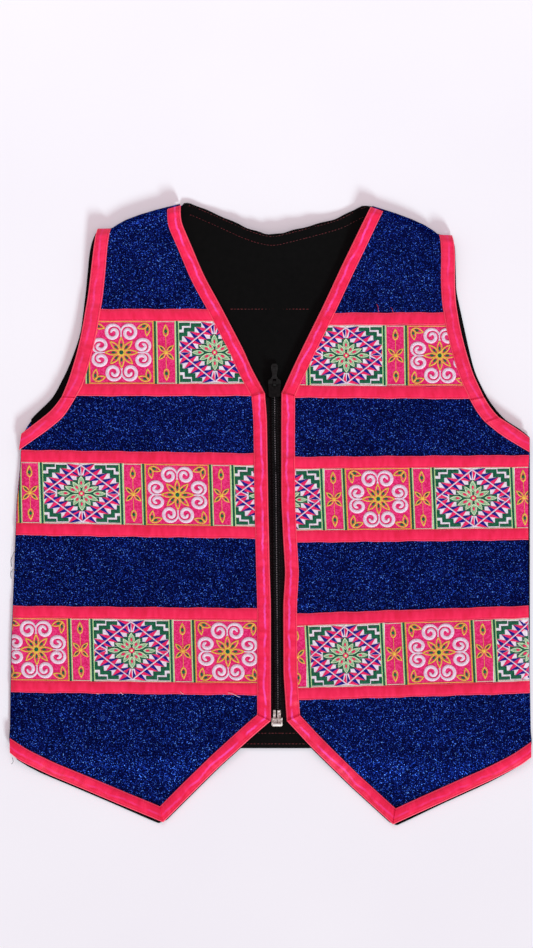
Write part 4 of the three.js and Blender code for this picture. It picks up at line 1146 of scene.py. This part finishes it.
def make_front_lining(front):
    """A front's lining, which stops at the zip's tape and shows past the diagonal and the hem."""
    top, bottom = front["seam"]
    hand, sign = front["hand"], front["sign"]

    def side_inset(y):
        sewn = smooth(y, bottom - SEAM_END, bottom) * (1 - smooth(y, top, top + SEAM_END))
        peek = np.interp(y, *front["hem_peek"].T)
        return LINING_INSET * (1 - np.minimum(peek, 1)) + (SIDE_ROLL + 1.2) * sewn - peek

    def neck_inset(y):
        by_tape = -np.abs(x_at(front["neck_line"], y) - x_at(ZIP_LINE, y)) + TAPE_WIDTH + GAP
        at_zip = smooth(y, ZIP_BOTTOM - 4, ZIP_BOTTOM) * (1 - smooth(y, ZIP_TOP, ZIP_TOP + 4))
        past_diagonal = 1 - smooth(y, -157, -154)
        peek = (LINING_INSET + DIAGONAL_PEEK) * past_diagonal
        return LINING_INSET + (by_tape - LINING_INSET) * at_zip - peek

    outer, inner = front_rows(front, side_inset, neck_inset, from_shoulder=2 * SHOULDER_ROLL, step=5)
    point = (outer[-1] + inner[-1]) / 2 - [0, LINING_TIP]
    outer = np.concatenate([outer, [point + [sign * 0.6, 0]]])
    inner = np.concatenate([inner, [point - [sign * 0.6, 0]]])
    x, y = row_grid(front, outer, inner, np.linspace(0, 1, 16)[None])
    z = FRONT_LINING_TOP + layer_lift(front, x, y)
    made, size, area = shell(f"{hand}_inner", x, y, z, z - THIN, [LINING])
    dress(made, "black_lining", f"{hand}_front_lining")


# Ribbons on a front's edges
def mitred(path, width, sign):
    """The inner edge of a ribbon laid along a path, mitred at each corner."""
    ahead = np.diff(path, axis=0)
    ahead /= np.linalg.norm(ahead, axis=1, keepdims=True)
    normal = np.column_stack([-ahead[:, 1], ahead[:, 0]]) * sign
    before = np.concatenate([normal[:1], normal])
    after = np.concatenate([normal, normal[-1:]])
    mean = before + after
    mean /= np.linalg.norm(mean, axis=1, keepdims=True)
    return path + mean * (width / (mean * before).sum(1))[:, None]


def edge_stations(front):
    """Outer and inner edge of the edge ribbon: neck, centre front, diagonal and hem."""
    corner_outer, corner_inner = front["corner"]
    hem = front["side"][front["side"][:, 1] < corner_outer[1] - 2][::-1][1:]
    neck = front["neck"][front["neck"][:, 1] < front["ribbon_top"][1][0][1] - 2]
    path = np.concatenate([neck, hem, [corner_outer]])
    inner = mitred(path, EDGE_RIBBON, front["sign"])
    inner[-1] = corner_inner
    tops = np.array(front["ribbon_top"])
    return np.concatenate([np.column_stack([tops[:, 0], tops[:, 1]]), np.column_stack([path, inner])])


def make_edge_ribbons(front, rng):
    """The ribbon round a front's free edge, and the one round its armhole."""
    hand = front["hand"]
    armhole_rows = np.array(front["armhole"]).reshape(-1, 4)
    ribbons = []
    for name, rows, corners, reach, spacing, height, material in (
            ("edge", edge_stations(front), front["mitres"], 5, 8, 0.4, EDGE_SATIN),
            ("armhole", armhole_rows, front["tucks"], 6, 9, 0.34, ARMHOLE_SATIN)):
        stations, folds = folded(*curve(rows, corners, reach=reach))
        outer, inner = stations[:, :2], stations[:, 2:]
        relief = puckers(rng, lengths(outer)[-1], spacing, height)
        ribbon = Ribbon(front, outer, inner, (RIBBON_TOP, RIBBON_UNDER), relief, band_lift, folds)
        made, size = ribbon.make(f"{hand}_{name}_trim", material)
        dress(made, "pink_satin", f"{hand}_{name}_ribbon")
        ribbons.append(ribbon)
    return ribbons


def band_limits(front, band, edge, armhole):
    """x of a band's two ends as functions of y: at the side or armhole, and at the edge ribbon."""
    sign = front["sign"]
    centre = edge.inner[edge.inner[:, 1] > ZIP_BOTTOM - 1]
    falling = np.minimum.accumulate(centre[:, 1])
    centre = centre[centre[:, 1] <= falling + 1e-6]

    def inner_x(y):
        return x_at(centre, y) - sign * UNDER_RIBBON

    def outer_x(y):
        if band["at_armhole"]:
            return x_at(armhole.inner, y) + sign * UNDER_RIBBON
        return x_at(front["side_line"], y) - sign * 0.5
    return outer_x, inner_x


def band_ends(band, outer_x, inner_x, share):
    """x of the outer and the inner end of a band's line at a share of its height."""
    ends = []
    for limit in (outer_x, inner_x):
        x = 0.0
        for _ in range(5):
            x = float(limit(band_y(band, x, share)))
        ends.append(x)
    return ends


def make_strips(front, band, limits, rng):
    """The two pink strips of a band."""
    made_strips = []
    tall = band["high"][0] - band["low"][0]
    for name, low, high in (("lower", 0, STRIP / tall), ("upper", 1 - STRIP / tall, 1)):
        start_low, end_low = band_ends(band, *limits, low)
        start_high, end_high = band_ends(band, *limits, high)
        count = round(abs(end_low - start_low) / 1.8)
        edges = []
        for start, end, share in ((start_low, end_low, low), (start_high, end_high, high)):
            t = np.linspace(0, 1, count)
            run = t * abs(end - start)
            wave = 0.18 * np.sin(run / 6.1 + 3 * share) + 0.12 * np.sin(run / 2.7)
            x = start + (end - start) * t
            edges.append(np.column_stack([x, band_y(band, x, share) + wave]))
        relief = puckers(rng, abs(end_low - start_low), 6, 0.3)
        strip = Ribbon(front, edges[0], edges[1], (STRIP_TOP, STRIP_UNDER), relief)
        piece = f"{front['hand']}_{band['name']}_{name}"
        made, size = strip.make(piece + "_satin", STRIP_SATIN)
        dress(made, "pink_satin", piece + "_strip")
        made_strips.append(strip)
    return made_strips


def make_band(front, band, limits):
    """The embroidered ribbon: its stitched ground, and the raised stitching on it."""
    piece = f"{front['hand']}_{band['name']}"
    outer_x, inner_x = limits
    tall = band["high"][0] - band["low"][0]
    shares = np.linspace(STRIP / tall, 1 - STRIP / tall, 20)
    spans = tile_spans(band["tiles"])
    breaks = sorted(x + side * half * WHITE_SHARE for kind, x, half in spans for side in (-1, 1)
                    if kind == "diamond")
    row_x = []
    reaches = [band_ends(band, outer_x, inner_x, share) for share in shares]
    ends = [np.min(reaches), np.max(reaches)]
    inside = [b for b in breaks if ends[0] + 3 < b < ends[1] - 3]
    stops = [ends[0], *inside, ends[1]]
    shares_x, kinds = [0.0], []
    for a, b in zip(stops[:-1], stops[1:]):
        middle = (a + b) / 2
        white = any(kind == "diamond" and abs(middle - x) < half * WHITE_SHARE for kind, x, half in spans)
        count = max(1, round((b - a) / 2.4))
        shares_x += [(a + (b - a) * i / count - ends[0]) / (ends[1] - ends[0]) for i in range(1, count + 1)]
        kinds += [1 if white else 0] * count
    columns = ends[0] + (ends[1] - ends[0]) * np.array(shares_x)
    squeezed = 0.02 * np.arange(len(columns))
    for share in shares:
        start, end = sorted(band_ends(band, outer_x, inner_x, share))
        row = np.clip(columns, start + squeezed, end - squeezed[::-1])
        row[0], row[-1] = start, end
        row_x.append(row)
    x = np.array(row_x)
    y = band_y(band, x, shares[:, None])
    z = face(front, x, y)
    cloth, size, area = shell(piece + "_ground", x, y, z + GROUND_TOP, z + GROUND_FOOT, [ROSE, WHITE], kinds)
    dress(cloth, "embroidered_ribbon", piece + "_embroidery")

    work = Needlework()
    room = tall / 2 - STRIP
    for kind, centre, half in spans:
        draw, nominal = TILES[kind]
        work.tile = (centre, half / nominal, room / TILE_HALF_HEIGHT, -band["lean"])
        draw(work)

    def keep(points):
        mid = band_y(band, points[:, 0], 0.5)
        y_points = mid + points[:, 1]
        reach = outer_x(y_points), inner_x(y_points)
        low, high = np.minimum(*reach) + STITCH_MARGIN, np.maximum(*reach) - STITCH_MARGIN
        beyond = np.where(points[:, 0] < low, -1, np.where(points[:, 0] > high, 1, 0))
        clipped = points.copy()
        clipped[:, 0] = np.clip(points[:, 0], low, high)
        return clipped, beyond

    def place(points):
        x_points = points[:, 0]
        y_points = band_y(band, x_points, 0.5) + points[:, 1]
        z_points = face(front, x_points, y_points) + GROUND_TOP + points[:, 2]
        return np.column_stack([x_points, y_points, z_points])

    stitched = work.make(piece + "_stitching", place, THREADS, keep)
    dress(stitched, "embroidered_ribbon")


# Lines of stitches
def stitch_line(work, line, pitch, length, half, height, rng):
    """Separate stitches along a line of points, each a small pointed mound."""
    along = lengths(line[:, :2])
    starts = np.arange(pitch / 2, along[-1] - length, pitch)
    for start in starts + rng.uniform(-0.12, 0.12, len(starts)) * pitch:
        at = np.array([start, start + length / 2, start + length])
        x, y, z = [np.interp(at, along, line[:, k]) for k in range(3)]
        z = z + np.array([-0.5, 1.0, -0.5]) * height
        work.bead(np.column_stack([x, y, z]), half, height)


class Stitches:
    """Small stitches anywhere on the garment, gathered into one mesh."""

    def __init__(self):
        self.points, self.faces, self.uvs = [], [], []

    def bead(self, path, half, height):
        """One stitch along three points, a small mound."""
        direction = path[-1, :2] - path[0, :2]
        side = np.array([-direction[1], direction[0], 0]) / (np.linalg.norm(direction) + 1e-9)
        up = np.array([0, 0, height])
        first, middle, last = path
        start = len(self.points)
        self.points += [first, middle - side * half - up, middle + up * 0.2, middle + side * half - up,
                        middle - up * 2, last]
        self.uvs += [(0, 0.5), (0.1, 0), (0.1, 0.5), (0.1, 1), (0.1, 0.5), (0.2, 0.5)]
        for a, b in ((1, 2), (2, 3), (3, 4), (4, 1)):
            self.faces += [[start, start + b, start + a], [start + a, start + b, start + 5]]

    def make(self, name, material, slot):
        return dress(build(name, self.points, self.faces, self.uvs, [material], sharp=80), slot)


def make_topstitching(front, ribbons, rng):
    """Stitches in the grooves along both edges of every ribbon and strip."""
    work = Stitches()
    for ribbon in ribbons:
        grooves = (1.0, 9.0) if ribbon.width > STRIP + 0.5 else (0.9, 8.2)
        for across in grooves:
            line = ribbon.line(across, start=1.5, end=1.5)
            stitch_line(work, line, 3.1, 2.3, 0.17, 0.16, rng)
    work.make(f"{front['hand']}_topstitching", PINK_STITCH, "pink_satin")


# Back
def neck_rise(x, from_top):
    """How far the back stands up near its neck edge."""
    across = np.cos(np.pi / 2 * np.clip((x - 4) / 66, -1, 1)) ** 2
    return NECK_RISE * across * (1 - smooth(from_top, 0, 34)) * (x > -62) * (x < 70)


def back_columns(inset_neck, inset_side, inset_shoulder):
    """Rows of x and the upper limit of the back at that x, from the wearer's right to the left."""
    right, _ = curve(BACK_RIGHT[::-1], UNDERARMS, step=3, reach=3)
    left, _ = curve(BACK_LEFT, UNDERARMS, step=3, reach=3)
    neck, _ = curve(BACK_NECK, [], step=3, reach=2)
    right[:, 0] += inset_side(right[:, 1])
    left[:, 0] -= inset_side(left[:, 1])
    neck[:, 1] += 0.3 * np.sin(neck[:, 0] / 2.6 + np.sin(neck[:, 0] / 11)) - inset_neck
    top = np.concatenate([right, neck, left])
    spread, _ = divided(top, 4)
    x = np.maximum.accumulate(spread[:, 0])
    y = spread[:, 1].copy()
    for front in FRONTS:
        (ax, _), (bx, _) = front["shoulder"]
        on_seam = (x > min(ax, bx)) & (x < max(ax, bx))
        y[on_seam] += shoulder_shape(front, x[on_seam], y[on_seam]) - inset_shoulder
    keep = np.concatenate([[True], np.diff(x) > 0.12])
    return x[keep], y[keep]


def make_back_layer(name, node, slot, material, heights, insets):
    """One layer of the back. Its insets are at the neck, at the sides and at the shoulder seams."""
    low_z, high_z = heights
    inset_neck, inset_side, inset_shoulder = insets
    is_lining = slot == "black_lining"

    def side(y):
        under_roll = (SIDE_ROLL + 1.5) * (1 - smooth(y, 44, 52)) if is_lining else 0
        return inset_side * smooth(y, 52, 60) + under_roll

    x_top, y_top = back_columns(inset_neck, side, inset_shoulder)
    hem = BACK_HEM + (0 if is_lining else 0.3)
    rows = []
    for high in y_top:
        middle = np.linspace(high - NEAR_TOP[-1], hem + NEAR_HEM[0], BACK_ROWS)[1:-1]
        rows.append(np.concatenate([high - NEAR_TOP, middle, hem + NEAR_HEM]))
    y = np.array(rows)
    x = np.repeat(x_top[:, None], y.shape[1], 1)
    from_top = y_top[:, None] - y
    lift = neck_rise(x, from_top)
    top = high_z - 0.5 * (1 - rolled(np.minimum(from_top, y - hem), 1.6)) + lift
    bottom = low_z + lift
    if is_lining:
        ripple = np.sin(x / 2.3 + 1.1 * np.sin(x / 13)) + 0.6 * np.sin(x / 5.1 + 1)
        neck = smooth(y, 190, 212)
        top = top + 0.22 * ripple * neck * np.exp(-from_top / 7) + creases(LINING_CREASES, x, y)
        bottom = np.minimum(top - 0.45, bottom)
        on_roll = 0
        for front, beside_neck in ((RIGHT, x < -67), (LEFT, x > 75)):
            on_roll = on_roll + beside_neck * (1 - smooth(below_shoulder(front, x, y), 3, 9))
        top = top - (top - 1.3) * 0.75 * np.clip(on_roll, 0, 1)
        bottom = np.minimum(bottom, top - 0.2)
    made, size, area = shell(name, x, y, top, bottom, [material])
    dress(made, slot, node)


def make_back():
    """The back's cloth, and its lining, which shows at the neck, the armholes and the zip's foot."""
    make_back_layer("back_outer", "back_shell", "glitter_cloth", GLITTER, (0.02, CLOTH), (0.7, 0.7, 0.4))
    make_back_layer("back_inner", "back_lining", "black_lining", LINING, (1.32, BACK_LINING_TOP),
                    (0, 0, 2.2))


def make_lining_stitches(rng):
    """Dark red stitching on the black: along the neck edge, across the yoke, and along the hem."""
    work = Stitches()
    neck, _ = curve(BACK_NECK, [], step=2, reach=3)
    for inset, trim in NECK_SEAMS:
        inner = mitred(neck, inset, -1)
        inner = inner[trim:-trim]
        z = BACK_LINING_TOP + 0.1 + neck_rise(inner[:, 0], np.full(len(inner), inset))
        line = np.column_stack([inner, z])
        stitch_line(work, line, 2.5, 1.9, 0.2, 0.15, rng)
    for start, end, y in LEVEL_SEAMS:
        x = np.linspace(start, end, 40)
        line = np.column_stack([x, np.full(40, y), np.full(40, BACK_LINING_TOP + 0.06)])
        stitch_line(work, line, 2.6, 2.4, 0.22, 0.15, rng)
    work.make("lining_stitches", RED_STITCH, "black_lining")


# Zip
def tube(path, radius, sides, axis):
    """Points and faces of a closed round tube along a path that winds about an axis."""
    tangent = np.gradient(path, axis=0)
    tangent /= np.linalg.norm(tangent, axis=1, keepdims=True)
    first = np.cross(tangent, axis)
    first /= np.linalg.norm(first, axis=1, keepdims=True) + 1e-9
    second = np.cross(tangent, first)
    turns = np.linspace(0, 2 * np.pi, sides, endpoint=False)
    radius = np.broadcast_to(np.asarray(radius, float), (len(path),))
    ring = (first[:, None] * np.cos(turns)[None, :, None] + second[:, None] * np.sin(turns)[None, :, None])
    points = (path[:, None] + ring * radius[:, None, None]).reshape(-1, 3)
    n = len(path)
    at = np.arange(n * sides).reshape(n, sides)
    beside = np.roll(at, -1, 1)
    faces = np.stack([at[:-1], at[1:], beside[1:], beside[:-1]], -1).reshape(-1, 4).tolist()
    faces += [at[0].tolist(), at[-1, ::-1].tolist()]
    uvs = np.column_stack([np.repeat(lengths(path), sides) / 10, np.tile(turns / (2 * np.pi), n)])
    return points, faces, uvs


def make_zip(rng):
    """Tapes, and on each a row of nylon coil with its line of stitching."""
    for front in FRONTS:
        hand, sign = front["hand"], front["sign"]
        y = np.linspace(ZIP_TOP, ZIP_BOTTOM, 80)
        across = np.array([0.15, 0.6, 2, 3.4, 4.2, 6, 9, 12, 14.6, TAPE_WIDTH])
        centre = x_at(ZIP_LINE, y)
        x = centre[:, None] + sign * across[None]
        yy = np.repeat(y[:, None], len(across), 1)
        top = FRONT_Z - GAP - 0.1 * np.cos(across)[None] ** 2 + 0.04 * np.sin(yy / 5)
        made, size, _ = shell(f"{hand}_tape", x, yy, top, top - 0.8, [TAPE])
        dress(made, "zip_tape", f"{hand}_zip_tape")

        turns = int((COIL_TOP - COIL_BOTTOM) / COIL_PITCH)
        phase = np.arange(turns * TURN_STEPS + 1) / TURN_STEPS
        angle = 2 * np.pi * phase
        y = COIL_TOP - COIL_PITCH * (phase + (0.5 if sign > 0 else 0))
        out = 1.42 - 1.5 * np.cos(angle)
        x = x_at(ZIP_LINE, y) + sign * out
        z = FRONT_Z + 0.86 + 0.52 * np.sin(angle)
        points, faces, uvs = tube(np.column_stack([x, y, z]), 0.34, 6, [0, 1, 0])
        uvs[:, 0] = np.repeat(phase, 6)
        coil = build(f"{hand}_coil", points, faces, uvs, [COILS[hand]], sharp=60)
        dress(coil, "zip_coil", f"{hand}_zip_coil")

        seam = Stitches()
        y = np.linspace(COIL_TOP - 8, COIL_BOTTOM + 2, 100)
        for distance in (2.0, 3.9):
            z = FRONT_Z + (1.35 if distance < 3 else -0.2)
            line = np.column_stack([x_at(ZIP_LINE, y) + sign * distance, y, np.full(100, z)])
            stitch_line(seam, line, 2.6, 2.0, 0.2, 0.16, rng)
        seam.make(f"{hand}_coil_stitches", DARK_STITCH, "zip_tape")


def dress_metal():
    """The slider, its pull tab, and the box and pins keep their shapes, with softened edges."""
    black = (BLACK_METAL, "black_metal")
    silver = (SILVER_METAL, "silver_metal")
    looks = {"zip_slider": black, "zip_pull_tab": black, "zip_box": silver, "zip_insert_pin": silver,
             "zip_box_pin": silver}
    for name, (material, slot) in looks.items():
        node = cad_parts[name]
        node.data.materials.clear()
        node.data.materials.append(material)
        bevel = node.modifiers.new("softened", "BEVEL")
        bevel.width = 0.14 * MM
        bevel.segments = 2
        bevel.limit_method = "ANGLE"
        bevel.angle_limit = math.radians(35)


def make_box_rim():
    """The rim of the zip's box, its thick lower lip, and the head of the fixed pin."""
    low, high = [np.array(corner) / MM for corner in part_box("zip_box")]
    pin_low, pin_high = [np.array(corner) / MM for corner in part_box("zip_box_pin")]
    left, right, foot, top = low[0] + 0.9, high[0] - 0.9, low[1] + 1.2, high[1] - 0.8
    work = Needlework()
    work.stroke([(left, foot), (right, foot), (right, top), (left, top)], 0.42, 0.26, "rim", closed=True)
    work.stroke([(left - 0.1, foot + 0.1), (right + 0.1, foot + 0.1)], 0.95, 0.5, "lip")
    disc(work, ((pin_low[0] + pin_high[0]) / 2, pin_high[1] - 0.8), 0.6, 0.3, "lip")

    def place(points):
        on_pin = points[:, 1] > high[1] + 0.5
        return points + np.column_stack([np.zeros((len(points), 2)), np.where(on_pin, pin_high[2], high[2])])

    # The lip and the pin's head take the lighter copy of the silver, a painted highlight.
    threads = {"rim": SILVER_METAL, "lip": LIT_SILVER}
    dress(work.make("zip_box_rim", place, threads), "silver_metal")


# Loose threads, each a list of places on the garment: x, y and height above its face
LOOSE_THREADS = [
    ("side_thread_upper", DARK_STITCH,
     [(-190.5, -26, 0.5), (-193.5, -30, 0.7), (-195.6, -35, 0.3), (-195.2, -40, 0.2)]),
    ("side_thread_middle", DARK_STITCH,
     [(-190, -43, 0.5), (-193.2, -41, 0.7), (-195.8, -44, 0.3), (-195.4, -49, 0.2)]),
    ("side_thread_lower", DARK_STITCH,
     [(-193.6, -182.6, 1.2), (-192.8, -184.8, 1.1), (-192.9, -186.6, 0.8), (-194.4, -187.8, 0.4)]),
    ("neck_thread_upper", PINK_STITCH,
     [(79.6, 157, 0.4), (81.0, 154.6, 0.9), (80.4, 152.4, 1.4), (81.3, 151, 1.2)]),
    ("neck_thread_lower", PINK_STITCH,
     [(90.2, 154.6, 0.4), (91.6, 153.4, 1.2), (91.2, 151.6, 1.4), (92.2, 150.8, 1.2)]),
    ("band_thread_1", PALE_STITCH,
     [(-130.4, -134.6, 1.1), (-129.3, -135.6, 1.6), (-128.6, -134.9, 1.2)]),
    ("band_thread_2", PALE_STITCH,
     [(-112.2, -133.6, 1.1), (-111.4, -134.9, 1.6), (-110.3, -135.5, 1.2)]),
    ("band_thread_3", PALE_STITCH,
     [(-67.4, -133.2, 1.1), (-66.4, -134.6, 1.6), (-65.0, -134.9, 1.2)]),
    ("band_thread_4", PALE_STITCH,
     [(-31.8, -134.0, 1.1), (-28.6, -134.4, 1.7), (-25.6, -136.2, 1.5), (-22.8, -137.4, 0.9)]),
]


def make_loose_threads():
    for name, material, rows in LOOSE_THREADS:
        line, _ = divided(np.array(rows, float), 0.7)
        line = eased(line, [], 3)
        front = RIGHT if line[0, 0] < 0 else LEFT
        line[:, 2] = np.maximum(line[:, 2] + face(front, line[:, 0], line[:, 1]), 0.3)
        points, faces, uvs = tube(line, 0.17, 6, [0.3, 0.2, 1])
        dress(build(name, points, faces, uvs, [material], sharp=60), "pink_satin")


# Surroundings
def make_floor():
    half = 3.0
    z = -0.0001
    corners = [(-half, -half, z), (half, -half, z), (half, half, z), (-half, half, z)]
    mesh = bpy.data.meshes.new("floor")
    mesh.from_pydata(corners, [], [(0, 1, 2, 3)])
    mesh.uv_layers.new(name="cloth")
    mesh.materials.append(paper_floor())
    floor = bpy.data.objects.new("floor", mesh)
    bpy.context.scene.collection.objects.link(floor)


def aim(holder, direction):
    """Turns a light to shine along a direction, and puts it in the scene."""
    holder.rotation_euler = Vector(direction).to_track_quat("-Z", "Y").to_euler()
    bpy.context.scene.collection.objects.link(holder)


def make_light():
    sun = bpy.data.lights.new("key", "SUN")
    sun.energy = 3.05
    sun.angle = math.radians(10)
    sun.color = (0.8, 1.0, 1.0)
    aim(bpy.data.objects.new("key", sun), (-0.33, 0.87, -0.375))
    panel = bpy.data.lights.new("panel", "AREA")
    panel.shape = "DISK"
    panel.size = 0.9
    panel.energy = 5.5
    panel.color = (0.98, 0.98, 1.0)
    holder = bpy.data.objects.new("panel", panel)
    holder.location = (-0.1, 1.2, 1.2)
    aim(holder, (0.1, -1.0, -1.2))
    world = bpy.data.worlds.new("studio")
    world.use_nodes = True
    world.node_tree.nodes["Background"].inputs["Color"].default_value = (1.0, 0.83, 0.88, 1)
    world.node_tree.nodes["Background"].inputs["Strength"].default_value = 0.565
    bpy.context.scene.world = world
    bpy.context.scene.view_settings.view_transform = "Standard"


def make_camera():
    camera = bpy.data.cameras.new("camera")
    camera.lens = LENS
    camera.sensor_width = SENSOR
    holder = bpy.data.objects.new("camera", camera)
    distance = PICTURE_HEIGHT * LENS / SENSOR + FACE_Z
    holder.location = (PICTURE_CENTRE[0] * MM, PICTURE_CENTRE[1] * MM, distance * MM)
    bpy.context.scene.collection.objects.link(holder)
    bpy.context.scene.camera = holder


make_floor()
make_light()
make_camera()
rng = np.random.default_rng(11)
make_back()
for front in FRONTS:
    make_front_lining(front)
    make_front(front)
    edge, armhole = make_edge_ribbons(front, rng)
    ribbons = [edge, armhole]
    for band in front["bands"]:
        limits = band_limits(front, band, edge, armhole)
        ribbons += make_strips(front, band, limits, rng)
        make_band(front, band, limits)
    make_topstitching(front, ribbons, rng)
make_lining_stitches(rng)
make_zip(rng)
dress_metal()
make_box_rim()
make_loose_threads()
